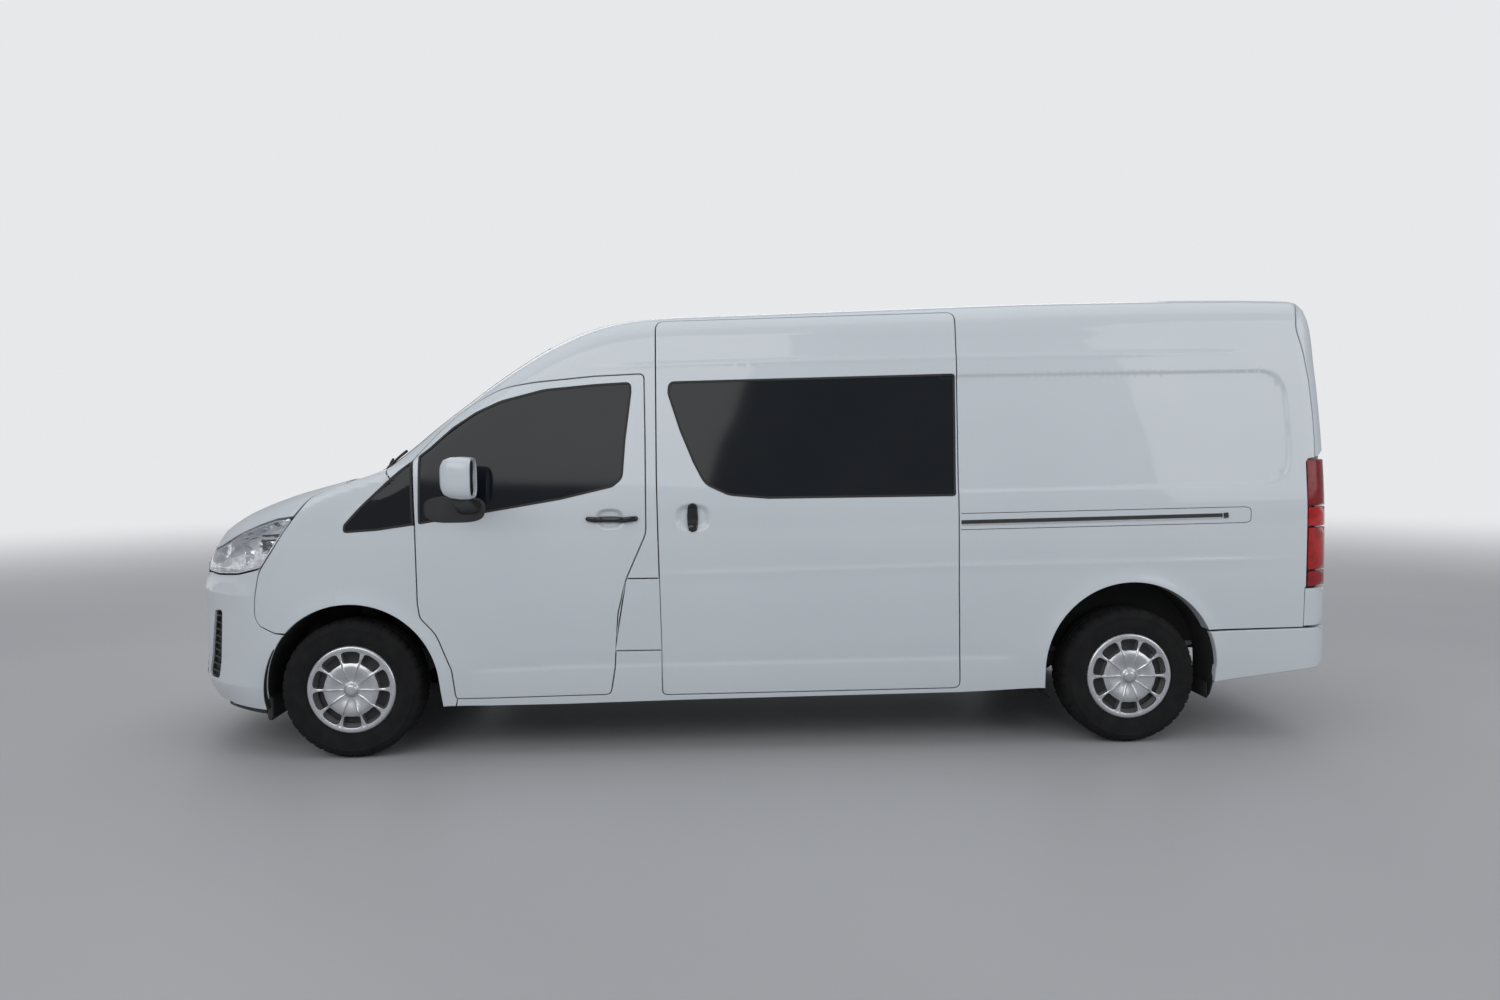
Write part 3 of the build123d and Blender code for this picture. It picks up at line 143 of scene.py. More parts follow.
# hand recesses in the doors: middle x, middle z, half length, half height, depth
RECESSES = [(1268, 1164, 74, 52, 17), (1672, 1166, 92, 70, 17)]
ARCH_LIP, ARCH_FADE = 9.0, 42.0         # a wheel arch's lip, and over what it fades
ROOF_TILT, ROOF_EDGE = 0.88, 105        # slope share and rounding where the sides meet the roof
SCREEN_FOOT = -60                       # the cab starts behind this place
TAIL_BOW, TAIL_EDGE = 16, 150           # the rear's curve across, and its corners' rounding
TAIL_TOP = 1900                         # the corners get sharper above this
NOSE_SLOPE, NOSE_EDGE = 0.9, 14
NOSE_TOP, NOSE_END, FAR = 1440, 560, 500
# height, foremost point, a point on the bow (x, half width), start of the flank
NOSE_ROWS = [
    (235, -945, -650, 735, -150), (300, -972, -688, 738, -163), (345, -984, -699, 740, -170),
    (600, -985, -700, 740, -171), (790, -984, -700, 741, -171), (930, -957, -688, 748, -175),
    (1000, -893, -660, 765, -180), (1100, -785, -580, 815, -190), (1180, -670, -450, 850, -175),
    (1240, -540, -330, 865, -150), (1290, -370, -215, 880, -90), (1338, -150, -60, 885, 40),
    (1380, 20, 90, 885, 180), (1420, 150, 200, 885, 300), (1560, 620, 660, 885, 760),
]
NOSE_BACK = 900.0            # the nose's plan curves are seen from this place on the centreline
NOSE_Z = np.arange(180.0, 1561.0, 8.0)
NOSE_TURN = np.radians(np.arange(-2.0, 96.0, 0.75))


def nose_table():
    """Distance from (NOSE_BACK, 0) to the nose's plan curve, by height and angle."""
    columns = np.array(NOSE_ROWS, float)
    tip, bow_x, bow_y, flank = (curve(columns[:, (0, i)], 13)(NOSE_Z) for i in (1, 2, 3, 4))
    half = HALF_WIDTH(NOSE_Z)
    share = np.concatenate([np.linspace(0, 0.9, 60), 1 - 0.1 * np.linspace(1, 0, 60)[1:] ** 2])
    table = []
    for i in range(len(NOSE_Z)):
        reach = (flank[i] - bow_x[i]) / (flank[i] - tip[i])
        power = np.log(1 - reach ** 2) / np.log(bow_y[i] / half[i])
        x = flank[i] - (flank[i] - tip[i]) * np.sqrt(np.maximum(1 - share ** power, 0))
        y = half[i] * share
        x, y = np.append(x, NOSE_BACK + 200), np.append(y, half[i])
        turn, far = np.arctan2(y, NOSE_BACK - x), np.hypot(y, NOSE_BACK - x)
        row = np.interp(np.abs(NOSE_TURN), turn, far)
        beyond = np.abs(NOSE_TURN) > turn[-2]
        row[beyond] = half[i] / np.sin(np.abs(NOSE_TURN[beyond]))
        table.append(row)
    return np.array(table)


NOSE_TABLE = nose_table()


def spline_weights(t):
    return ((1 - t) ** 3 / 6, (3 * t ** 3 - 6 * t ** 2 + 4) / 6,
            (-3 * t ** 3 + 3 * t ** 2 + 3 * t + 1) / 6, t ** 3 / 6)


def nose_reach(turn, z):
    """The table read smoothly."""
    row = np.clip((z - NOSE_Z[0]) / (NOSE_Z[1] - NOSE_Z[0]), 1, len(NOSE_Z) - 3.001)
    col = np.clip((turn - NOSE_TURN[0]) / (NOSE_TURN[1] - NOSE_TURN[0]), 1, len(NOSE_TURN) - 3.001)
    i, j = row.astype(int), col.astype(int)
    total = 0.0
    for a, wa in enumerate(spline_weights(row - i)):
        for b, wb in enumerate(spline_weights(col - j)):
            total = total + wa * wb * NOSE_TABLE[i + a - 1, j + b - 1]
    return total


def bumper_fold(turn, z):
    """The bumper's two level creases, fading out towards the wheel."""
    high = np.maximum(0, 1 - np.abs(z - 800) / np.where(z > 800, 62, 95))
    low = np.maximum(0, 1 - np.abs(z - 346) / np.where(z > 346, 120, 48))
    return (9.0 * high ** 1.2 + 8.0 * low ** 1.2) * smoothstep(turn, 0.62, 0.47)


def arch_flare(x, z, arch):
    """A wheel arch's lip, standing out from the side."""
    out = np.where(z > arch[1], np.hypot(x - arch[0], z - arch[1]), np.abs(x - arch[0])) - arch[2]
    return ARCH_LIP * np.exp(-(np.maximum(out, 0) / ARCH_FADE) ** 2)


def side_reach(x, z):
    """Half width of the body side."""
    rise = (GUTTER_LINE(x) - 1930) * np.clip((z - 1250) / 650, 0, 1)
    half = HALF_WIDTH(z - rise) - TAPER(x)
    half = half + GUTTER(z - GUTTER_LINE(x)) * GUTTER_AT(x)
    half = half + LOW(z - LOW_LINE(x)) * LOW_AT(x)
    half = half + MID(z - MID_LINE(x)) * MID_AT(x)
    half = half + arch_flare(x, z, FRONT_ARCH) + arch_flare(x, z, REAR_ARCH)
    for at_x, at_z, long, tall, deep in RECESSES:
        away = (np.abs((x - at_x) / long) ** 2.6 + np.abs((z - at_z) / tall) ** 2.6) ** (1 / 2.6)
        half = half - deep * smoothstep(-away, -1.0, -0.62)
    out = smax(smax(z - INSET_TOP(x), INSET_LOW(x) - z, 60), x - INSET_REAR(z), 130)
    return half - INSET_DEPTH * smoothstep(-out, 0, 22) * smoothstep(x, 2900, 2920)


def top_reach(x, y):
    """Height of the screen and the roof."""
    across = np.abs(y)
    bowed = x + SCREEN_BOW * (1 - (across / 800) ** 2)
    return TOP_LINE(bowed) + CROWN(x) * (1 - (across / 742) ** 2)


def depth(p):
    """Roughly the distance outside the skin, negative inside."""
    x, y, z = p[..., 0], np.abs(p[..., 1]), p[..., 2]
    side = y - side_reach(x, z)
    body = smax(side, ROOF_TILT * (z - top_reach(x, y)), ROOF_EDGE)
    body = smax(body, np.maximum(SCREEN_FOOT - x, -400), 1)
    back = x - (TAIL(z) - TAIL_BOW * (y / 900) ** 2)
    edge = TAIL_EDGE - 0.25 * np.clip(z - TAIL_TOP, 0, 300)
    body = smax(body, back, np.where(z > TAIL_TOP, edge, TAIL_EDGE))
    turn = np.arctan2(y, np.maximum(NOSE_BACK - x, 1))
    nose = np.hypot(y, NOSE_BACK - x) - nose_reach(turn, z) - bumper_fold(turn, z)
    nose = smax(smax(NOSE_SLOPE * nose, side, NOSE_EDGE), z - NOSE_TOP, 1)
    return np.minimum(body, np.where(x < NOSE_END, nose, FAR))


CAST_HALVINGS = 19


def cast(start, direction, low, high):
    """Points where rays leave the skin."""
    low = np.full(len(start), float(low))
    high = np.full(len(start), float(high))
    for _ in range(CAST_HALVINGS):
        middle = (low + high) / 2
        outside = depth(start + middle[:, None] * direction) > 0
        high = np.where(outside, middle, high)
        low = np.where(outside, low, middle)
    return start + ((low + high) / 2)[:, None] * direction


def unit(v):
    return v / np.maximum(np.linalg.norm(v, axis=-1, keepdims=True), 1e-12)


def skin_normal(p, step=3.0):
    """Outward directions of the skin at points on it."""
    parts = []
    for axis in range(3):
        shift = np.zeros(3)
        shift[axis] = step
        parts.append(depth(p + shift) - depth(p - shift))
    return unit(np.stack(parts, axis=-1))


# ---------------------------------------------------------------- charts: the skin as a flat sheet
# sense is +1 where an anticlockwise ring's outside lies along tangent x normal
class SectionChart:
    """Rays from a line along the body, square to it: for sides and fenders."""
    axis_z = 1150.0
    scale = 930.0
    sense = 1.0

    def flat(self, p):
        return np.stack([p[:, 0], self.scale * np.arctan2(p[:, 2] - self.axis_z, np.abs(p[:, 1]))],
                        axis=1)

    def rays(self, uv):
        angle = uv[:, 1] / self.scale
        zero = np.zeros(len(uv))
        start = np.stack([uv[:, 0], zero, zero + self.axis_z], axis=1)
        return start, np.stack([zero, -np.cos(angle), np.sin(angle)], axis=1), 60, 1900


class BallChart:
    """Rays from a point: for the nose and the tail."""

    def __init__(self, x, z, ahead, scale=800.0):
        self.centre, self.ahead, self.scale = np.array([x, 0.0, z]), ahead, scale
        self.sense = -1.0 if ahead < 0 else 1.0

    def flat(self, p):
        d = p - self.centre
        level = np.hypot(d[:, 0], d[:, 1])
        return self.scale * np.stack([np.arctan2(d[:, 1], self.ahead * d[:, 0]),
                                      np.arctan2(d[:, 2], level)], axis=1)

    def rays(self, uv):
        turn, climb = uv[:, 0] / self.scale, uv[:, 1] / self.scale
        direction = np.stack([self.ahead * np.cos(climb) * np.cos(turn),
                              np.cos(climb) * np.sin(turn), np.sin(climb)], axis=1)
        return np.tile(self.centre, (len(uv), 1)), direction, 40, 2200


class PlanChart:
    """Rays straight up: for the roof and the screen."""
    sense = 1.0

    def flat(self, p):
        return p[:, :2].copy()

    def rays(self, uv):
        zero = np.zeros(len(uv))
        return (np.stack([uv[:, 0], uv[:, 1], zero + 1260], axis=1),
                np.tile([0.0, 0.0, 1.0], (len(uv), 1)), 0, 1200)


SIDE, TOP = SectionChart(), PlanChart()
NOSE, REAR = BallChart(300.0, 700.0, -1), BallChart(4150.0, 1300.0, 1)
LOW_REAR = BallChart(4250.0, 480.0, 1)


# ---------------------------------------------------------------- outlines on the skin
def rounded(rows, step=EDGE_STEP, closed=True):
    """Dense points along straight runs between (a, b, radius) corners, the corners rounded."""
    rows = [tuple(r) + (0.0,) * (3 - len(r)) for r in rows]
    parts = []
    count = len(rows)
    for i, (a, b, radius) in enumerate(rows):
        here = np.array([a, b], float)
        if not closed and i in (0, count - 1) or radius <= 0:
            parts.append(here[None])
            continue
        before = np.array(rows[i - 1][:2]) - here
        after = np.array(rows[(i + 1) % count][:2]) - here
        long_b, long_a = np.linalg.norm(before), np.linalg.norm(after)
        before, after = before / long_b, after / long_a
        half = math.acos(np.clip(before @ after, -1, 1)) / 2
        reach = min(radius / math.tan(half), 0.49 * long_b, 0.49 * long_a)
        start, end = here + before * reach, here + after * reach
        bits = max(3, int(2 * reach / step) + 2)
        t = np.linspace(0, 1, bits)[:, None]
        parts.append((1 - t) ** 2 * start + 2 * t * (1 - t) * here + t ** 2 * end)
    return spread(np.concatenate(parts), step, closed)


def bend(*rows):
    """Dense points along an open run between corners, as rounded gives them."""
    return rounded(rows, closed=False)


def spread(points, step, closed):
    """Adds points so that no run is longer than step, and drops doubled ones."""
    dims = points.shape[1]
    following = np.roll(points, -1, axis=0) if closed else points[1:]
    result = []
    for a, b in zip(points, following):
        length = np.linalg.norm(b - a)
        if length < 0.4:
            continue
        bits = max(1, int(math.ceil(length / step)))
        for k in range(bits):
            result.append(a + (b - a) * k / bits)
    if not closed:
        result.append(points[-1])
    return np.array(result).reshape(-1, dims)


def view(axis, place, sense, far):
    """Function from flat places to the skin points seen from one way."""
    direction = np.zeros(3)
    direction[axis] = sense

    def seen(flat):
        start = np.insert(np.asarray(flat, float), axis, place, axis=1)
        return cast(start, np.tile(direction, (len(start), 1)), 0, far)
    return seen


from_side = view(1, -250.0, -1.0, 900)       # the left side, places (x, z)
from_above = view(2, 900.0, 1.0, 1500)       # places (x, y)
from_ahead = view(0, 1300.0, -1.0, 2500)     # places (y, z)
from_behind = view(0, 4300.0, 1.0, 900)      # places (y, z)


MIRROR = np.array([1, -1, 1])


def mirrored(points):
    return np.asarray(points) * MIRROR


def both_ways(points):
    """A left run that starts and ends on the centreline, closed by its mirror image."""
    return np.concatenate([points, mirrored(points)[::-1]])


# ---------------------------------------------------------------- meshes
def to_row(p):
    return (np.asarray(p, float) - np.array([AXLE, 0, 0])) / 1000.0


def array_mesh(name, verts, faces):
    """Mesh from arrays, its faces all with the same number of corners."""
    mesh = bpy.data.meshes.new(name)
    mesh.vertices.add(len(verts))
    mesh.vertices.foreach_set("co", verts.ravel())
    mesh.loops.add(faces.size)
    mesh.loops.foreach_set("vertex_index", faces.ravel())
    mesh.polygons.add(len(faces))
    mesh.polygons.foreach_set("loop_start", np.arange(0, faces.size, faces.shape[1]))
    mesh.update(calc_edges=True)
    return mesh


def declare(obj, body, node=None):
    """Puts a piece on what it rides on and hides the CAD node it stands for."""
    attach(obj, body)
    if node:
        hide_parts(node)


def tri_piece(name, solid, material, body, right=False, node=None):
    """Piece from vertices, triangles and a direction for each corner, or None for flat faces."""
    verts, tris, normals = solid
    verts = to_row(verts)
    if right:
        verts = verts * MIRROR
        tris = tris[:, ::-1]
        if normals is not None:
            normals = (normals * MIRROR)[:, ::-1]
    mesh = array_mesh(name, verts, tris)
    mesh.polygons.foreach_set("use_smooth", np.full(len(tris), normals is not None))
    if normals is not None:
        mesh.normals_split_custom_set(unit(normals.reshape(-1, 3)).tolist())
    mesh.materials.append(material)
    declare(link(name, mesh), body, node)


def inside(points, loop):
    """Which points lie inside a closed loop, by counting crossings."""
    result = np.zeros(len(points), bool)
    x, y = points[:, 0], points[:, 1]
    a, b = loop, np.roll(loop, -1, axis=0)
    for (ax, ay), (bx, by) in zip(a, b):
        if ay == by:
            continue
        hit = ((ay > y) != (by > y)) & (x < (bx - ax) * (y - ay) / (by - ay) + ax)
        result ^= hit
    return result


def within(points, loops):
    """Which points lie inside the first loop and outside the others."""
    keep = inside(points, loops[0])
    for loop in loops[1:]:
        keep &= ~inside(points, loop)
    return keep


def offset_ring(ring, normals, amount):
    """A closed ring of skin points moved within the skin, outwards where amount is above 0."""
    ahead = unit(np.roll(ring, -1, axis=0) - ring)
    behind = unit(ring - np.roll(ring, 1, axis=0))
    side_a, side_b = np.cross(ahead, normals), np.cross(behind, normals)
    middle = unit(side_a + side_b)
    share = np.clip(np.sum(middle * side_a, axis=1), 0.55, 1)
    return ring + middle * (amount / share)[:, None], middle


def anticlockwise(ring, chart):
    flat = chart.flat(ring)
    nxt = np.roll(flat, -1, axis=0)
    return ring[::-1] if np.sum(flat[:, 0] * nxt[:, 1] - nxt[:, 0] * flat[:, 1]) < 0 else ring


def shrunk(ring, chart, amount):
    """A ring of skin points drawn inwards by amount."""
    ring = anticlockwise(ring, chart)
    return offset_ring(ring, skin_normal(ring), -amount * chart.sense)[0]


def cross_of(verts, tris):
    a, b, c = (verts[tris[:, k]] for k in range(3))
    return np.cross(b - a, c - a)


def edge_rows(chart, ring, way, gap, lip, base, normal_step):
    """The rows of a panel's rounded edge, as (points, directions), and its first row in the chart.

    way is -1 where the panel lies inside the ring and +1 where it lies outside.
    """
    ring = anticlockwise(ring, chart)
    normal = skin_normal(ring, normal_step)
    away = offset_ring(ring, normal, 0.0)[1] * chart.sense
    rows = []
    for back, down, mix in ((gap / 2 + lip, 0.0, 0.0), (gap / 2 + 0.3 * lip, 0.3 * lip, 0.7),
                            (gap / 2, lip, 1.0)):
        place = ring + away * (way * back)
        place = place + normal * (base - down)
        rows.append((place, unit(normal * (1 - mix) + away * (-way) * mix)))
    return rows, chart.flat(rows[0][0] - normal * base)


def inner_points(chart, flats, lines, step):
    """Places between a panel's edges: a grid and the places of lines, clear of the edges."""
    low, high = flats[0].min(axis=0), flats[0].max(axis=0)
    across = np.arange(low[0] + step * 0.37, high[0], step)
    down = np.arange(low[1] + step * 0.41, high[1], step * 0.9)
    grid = np.stack(np.meshgrid(across, down), axis=-1).reshape(-1, 2)
    grid = np.concatenate([grid] + [chart.flat(line) for line in lines])
    grid = grid[within(grid, flats)]
    border = np.concatenate(flats)
    clear = np.full(len(grid), 1e9)
    for start in range(0, len(border), 200):
        chunk = border[start:start + 200]
        clear = np.minimum(clear, np.min(np.linalg.norm(grid[:, None] - chunk[None], axis=2),
                                         axis=1))
    return grid[clear > 0.42 * EDGE_STEP]


def slab(chart, outline, holes=(), thick=DOOR_WALL, gap=GAP, lip=LIP, step=BODY_STEP, grow=0.0,
         lines=(), normal_step=3.0):
    """A panel on the skin: vertices, triangles and corner normals.

    outline and holes are rings of skin points; the panel stops gap / 2 short of them. Its outer
    face is grow outside the skin, its edge is rounded by lip, and it is thick mm deep.
    """
    edges = [edge_rows(chart, ring, 1 if number else -1, gap, lip, grow, normal_step)
             for number, ring in enumerate([outline, *holes])]
    flats = [flat for _, flat in edges]
    points = np.concatenate(flats + [inner_points(chart, flats, lines, step)])
    bounds, first = [], 0
    for flat in flats:
        bounds.extend((first + k, first + (k + 1) % len(flat)) for k in range(len(flat)))
        first += len(flat)
    sheet, _, tris, origin, _, _ = delaunay_2d_cdt([Vector(p) for p in points], bounds, [], 0, 1e-5)
    sheet = np.array([tuple(v) for v in sheet])
    tris = np.array([t for t in tris if len(t) == 3], int)
    tris = tris[within(sheet[tris].mean(axis=1), flats)]
    outer = cast(*chart.rays(sheet))
    normal = skin_normal(outer, normal_step)
    outer = outer + normal * grow
    border = np.concatenate([rows[0][0] for rows, _ in edges])
    at = np.zeros(len(border), int)
    for index, sources in enumerate(origin):
        for source in sources:
            if source < len(border):
                outer[index] = border[source]
                at[source] = index
    flip = np.sum(cross_of(outer, tris) * normal[tris].sum(axis=1), axis=1) < 0
    tris[flip] = tris[flip][:, ::-1]
    total, done = 2 * len(outer), 0
    verts = [outer, outer - normal * thick]
    all_tris = [tris, tris[:, ::-1] + len(outer)]
    all_normals = [normal[tris], -normal[tris[:, ::-1]]]
    for rows, flat in edges:
        count = len(flat)
        nxt = np.roll(np.arange(count), -1)
        ids = [at[done:done + count]]
        done += count
        for place, _ in rows[1:]:
            verts.append(place)
            ids.append(np.arange(total, total + count))
            total += count
        ids.append(ids[0] + len(outer))
        facing = [row[1] for row in rows] + [rows[-1][1]]
        for low, high, fa, fb in zip(ids, ids[1:], facing, facing[1:]):
            all_tris += [np.stack([low, low[nxt], high[nxt]], axis=1),
                         np.stack([low, high[nxt], high], axis=1)]
            all_normals += [np.stack([fa, fa[nxt], fb[nxt]], axis=1),
                            np.stack([fa, fb[nxt], fb], axis=1)]
    verts, tris, normals = (np.concatenate(part) for part in (verts, all_tris, all_normals))
    facing = cross_of(verts, tris)
    flip = np.sum(facing * normals.sum(axis=1), axis=1) < 0
    tris[flip] = tris[flip][:, ::-1]
    normals[flip] = normals[flip][:, ::-1]
    keep = np.linalg.norm(facing, axis=1) > 1e-6
    return verts, tris[keep], normals[keep]


def join(*solids):
    """Several (vertices, triangles, normals) as one."""
    verts, tris, normals, total = [], [], [], 0
    for v, t, n in solids:
        verts.append(v)
        tris.append(t + total)
        normals.append(n)
        total += len(v)
    return np.concatenate(verts), np.concatenate(tris), np.concatenate(normals)


# ---------------------------------------------------------------- materials
def new_material(name):
    material = bpy.data.materials.new(name)
    material.use_nodes = True
    tree = material.node_tree
    return material, tree, tree.nodes["Principled BSDF"]


def noise_node(tree, scale, detail=3.0, rough=0.5):
    place = tree.nodes.new("ShaderNodeTexCoord")
    noise = tree.nodes.new("ShaderNodeTexNoise")
    noise.inputs["Scale"].default_value = scale
    noise.inputs["Detail"].default_value = detail
    noise.inputs["Roughness"].default_value = rough
    tree.links.new(place.outputs["Object"], noise.inputs["Vector"])
    return noise


def ramp_node(tree, source, low, high, a, b):
    ramp = tree.nodes.new("ShaderNodeMapRange")
    ramp.inputs["From Min"].default_value = low
    ramp.inputs["From Max"].default_value = high
    ramp.inputs["To Min"].default_value = a
    ramp.inputs["To Max"].default_value = b
    tree.links.new(source, ramp.inputs["Value"])
    return ramp.outputs["Result"]


def colour_mix(tree, factor, a, b):
    mix = tree.nodes.new("ShaderNodeMix")
    mix.data_type = "RGBA"
    mix.inputs[6].default_value = (*a, 1)
    mix.inputs[7].default_value = (*b, 1)
    tree.links.new(factor, mix.inputs["Factor"])
    return mix.outputs[2]


def bump_link(tree, shader, height, strength, distance):
    bump = tree.nodes.new("ShaderNodeBump")
    bump.inputs["Strength"].default_value = strength
    bump.inputs["Distance"].default_value = distance
    tree.links.new(height, bump.inputs["Height"])
    tree.links.new(bump.outputs["Normal"], shader.inputs["Normal"])


def surface(name, colour, second, rough=(0.4, 0.5), metal=0.0, scale=12.0, bump=0.1,
            bump_scale=400.0, distance=0.0004, coat=0.0, **inputs):
    """A surface whose colour, gloss and grain vary a little from place to place."""
    material, tree, shader = new_material(name)
    large = noise_node(tree, scale, 4.0)
    factor = ramp_node(tree, large.outputs["Fac"], 0.35, 0.65, 0.0, 1.0)
    tree.links.new(colour_mix(tree, factor, colour, second), shader.inputs["Base Color"])
    tree.links.new(ramp_node(tree, large.outputs["Fac"], 0.3, 0.7, *rough),
                   shader.inputs["Roughness"])
    fine = noise_node(tree, bump_scale, 2.0)
    bump_link(tree, shader, fine.outputs["Fac"], bump, distance)
    shader.inputs["Metallic"].default_value = metal
    shader.inputs["Coat Weight"].default_value = coat
    shader.inputs["Coat Roughness"].default_value = 0.03
    for key, value in inputs.items():
        shader.inputs[key.replace("_", " ")].default_value = value
    return material


# The real paint is white; this colour is darkened and tinted blue-grey, which is painted shade, as
# if the whole body stood in shade.
SHADE_DARKENED_PAINT = surface("shade_darkened_white_paint", (0.600, 0.640, 0.675), (0.580, 0.622, 0.658), rough=(0.34, 0.40),
                scale=1.3, bump=0.012, bump_scale=900.0, distance=0.0002, coat=0.7)
BLACK_TRIM = surface("black_plastic", (0.018, 0.018, 0.019), (0.030, 0.030, 0.031),
                     rough=(0.5, 0.62), scale=9.0, bump=0.25, bump_scale=1600.0)
GLOSS_BLACK = surface("gloss_black", (0.008, 0.008, 0.009), (0.012, 0.012, 0.013),
                      rough=(0.10, 0.16), bump=0.01)
RUBBER = surface("tyre_rubber", (0.008, 0.008, 0.009), (0.014, 0.014, 0.014), rough=(0.78, 0.9),
                 scale=14.0, bump=0.3, bump_scale=700.0, Specular_IOR_Level=0.2)
SEAL = surface("seal_rubber", (0.012, 0.012, 0.012), (0.020, 0.020, 0.020), rough=(0.55, 0.7),
               bump=0.2)
GLASS = surface("tinted_glass", (0.006, 0.008, 0.011), (0.008, 0.010, 0.013), rough=(0.05, 0.07),
                scale=2.0, bump=0.004, bump_scale=6.0, Specular_IOR_Level=0.3)
SILVER = surface("silver_paint", (0.60, 0.61, 0.63), (0.52, 0.53, 0.55), rough=(0.26, 0.34),
                 metal=0.85, scale=30.0, bump=0.05, bump_scale=1500.0, coat=0.5)
DARK_STEEL = surface("painted_steel", (0.05, 0.05, 0.052), (0.08, 0.08, 0.08), rough=(0.45, 0.6),
                     metal=0.4, scale=20.0)
STEEL = surface("bare_steel", (0.32, 0.32, 0.33), (0.22, 0.22, 0.23), rough=(0.4, 0.55), metal=0.9,
                scale=20.0)
CHROME = surface("bright_reflector", (0.86, 0.87, 0.88), (0.78, 0.79, 0.80), rough=(0.06, 0.12),
                 metal=1.0, scale=25.0, bump=0.02)
UNDERBODY = surface("underseal", (0.030, 0.030, 0.031), (0.050, 0.048, 0.045), rough=(0.75, 0.9),
                    scale=8.0, bump=0.5, bump_scale=260.0, distance=0.001)
CAST = surface("cast_metal", (0.16, 0.16, 0.165), (0.24, 0.24, 0.24), rough=(0.5, 0.65), metal=0.7,
               scale=25.0, bump=0.5, bump_scale=500.0)
INNER_TRIM = surface("inner_trim", (0.30, 0.30, 0.30), (0.34, 0.335, 0.33), rough=(0.62, 0.74),
                     scale=10.0, bump=0.35, bump_scale=1200.0)
DARK_TRIM = surface("dark_dash", (0.045, 0.046, 0.050), (0.06, 0.06, 0.064), rough=(0.55, 0.7),
                    scale=10.0, bump=0.35, bump_scale=1200.0)


def lens_material(name, colour, rough, weight):
    material, tree, shader = new_material(name)
    shader.inputs["Base Color"].default_value = (*colour, 1)
    shader.inputs["Transmission Weight"].default_value = weight
    shader.inputs["IOR"].default_value = 1.49
    noise = noise_node(tree, 60.0)
    tree.links.new(ramp_node(tree, noise.outputs["Fac"], 0.3, 0.7, rough, rough * 2),
                   shader.inputs["Roughness"])
    return material


CLEAR_LENS = lens_material("clear_lens", (0.96, 0.97, 0.98), 0.02, 1.0)

# ---------------------------------------------------------------- stage and light
BACKDROP = (0.80, 0.81, 0.83)


def floor_material():
    """Pale floor that melts into the backdrop's colour far out."""
    material, tree, shader = new_material("stage_floor")
    cloud = noise_node(tree, 0.35, 2.0)
    tree.links.new(colour_mix(tree, ramp_node(tree, cloud.outputs["Fac"], 0.3, 0.7, 0.0, 1.0),
                              (0.405, 0.408, 0.420), (0.435, 0.438, 0.448)),
                   shader.inputs["Base Color"])
    shader.inputs["Roughness"].default_value = 0.5
    place = tree.nodes.new("ShaderNodeTexCoord")
    length = tree.nodes.new("ShaderNodeVectorMath")
    length.operation = "LENGTH"
    tree.links.new(place.outputs["Object"], length.inputs[0])
    far = tree.nodes.new("ShaderNodeMapRange")
    far.interpolation_type = "SMOOTHERSTEP"
    far.inputs["From Min"].default_value = 5.5
    far.inputs["From Max"].default_value = 22.0
    tree.links.new(length.outputs["Value"], far.inputs["Value"])
    glow = tree.nodes.new("ShaderNodeEmission")
    glow.inputs["Color"].default_value = (*BACKDROP, 1)
    mix = tree.nodes.new("ShaderNodeMixShader")
    tree.links.new(far.outputs["Result"], mix.inputs[0])
    tree.links.new(shader.outputs[0], mix.inputs[1])
    tree.links.new(glow.outputs[0], mix.inputs[2])
    tree.links.new(mix.outputs[0], tree.nodes["Material Output"].inputs["Surface"])
    return material


# name, place, aimed at, watts, sides
LAMPS = [
    ("key", (-7.0, -13.0, 9.5), (0, 0, 0.8), 900, (18.0, 9.0)),
    ("fill", (11.0, -9.0, 6.0), (0.5, 0, 1.0), 340, (11.0, 7.0)),
    ("back", (0.0, 14.0, 9.0), (0, 0, 1.0), 480, (18.0, 8.0)),
    ("top", (0.0, 0.0, 10.5), (0, 0, 0), 350, (17.0, 11.0)),
]


def make_stage():
    mesh = bpy.data.meshes.new("stage_floor")
    size = 60.0
    corners = [(-size, -size, 0), (size, -size, 0), (size, size, 0), (-size, size, 0)]
    mesh.from_pydata(corners, [], [(0, 1, 2, 3)])
    floor = link("stage_floor", mesh)
    mesh.materials.append(floor_material())
    world = bpy.data.worlds.new("studio")
    bpy.context.scene.world = world
    world.use_nodes = True
    nodes, links = world.node_tree.nodes, world.node_tree.links
    background = nodes["Background"]
    path = nodes.new("ShaderNodeLightPath")
    mix = nodes.new("ShaderNodeMix")
    mix.data_type = "RGBA"
    mix.inputs[6].default_value = (0.36, 0.375, 0.40, 1)
    mix.inputs[7].default_value = (*BACKDROP, 1)
    links.new(path.outputs["Is Camera Ray"], mix.inputs["Factor"])
    links.new(mix.outputs[2], background.inputs["Color"])
    background.inputs["Strength"].default_value = 1.0
    for name, place, target, power, (size_x, size_y) in LAMPS:
        lamp = bpy.data.lights.new(name, "AREA")
        lamp.shape, lamp.energy = "RECTANGLE", power
        lamp.size, lamp.size_y = size_x, size_y
        obj = link(name, lamp)
        obj.location = place
        obj.visible_camera = False
        obj.rotation_euler = (Vector(target) - Vector(place)).to_track_quat("-Z", "Y").to_euler()
    bpy.context.scene.view_settings.view_transform = "Standard"


make_stage()

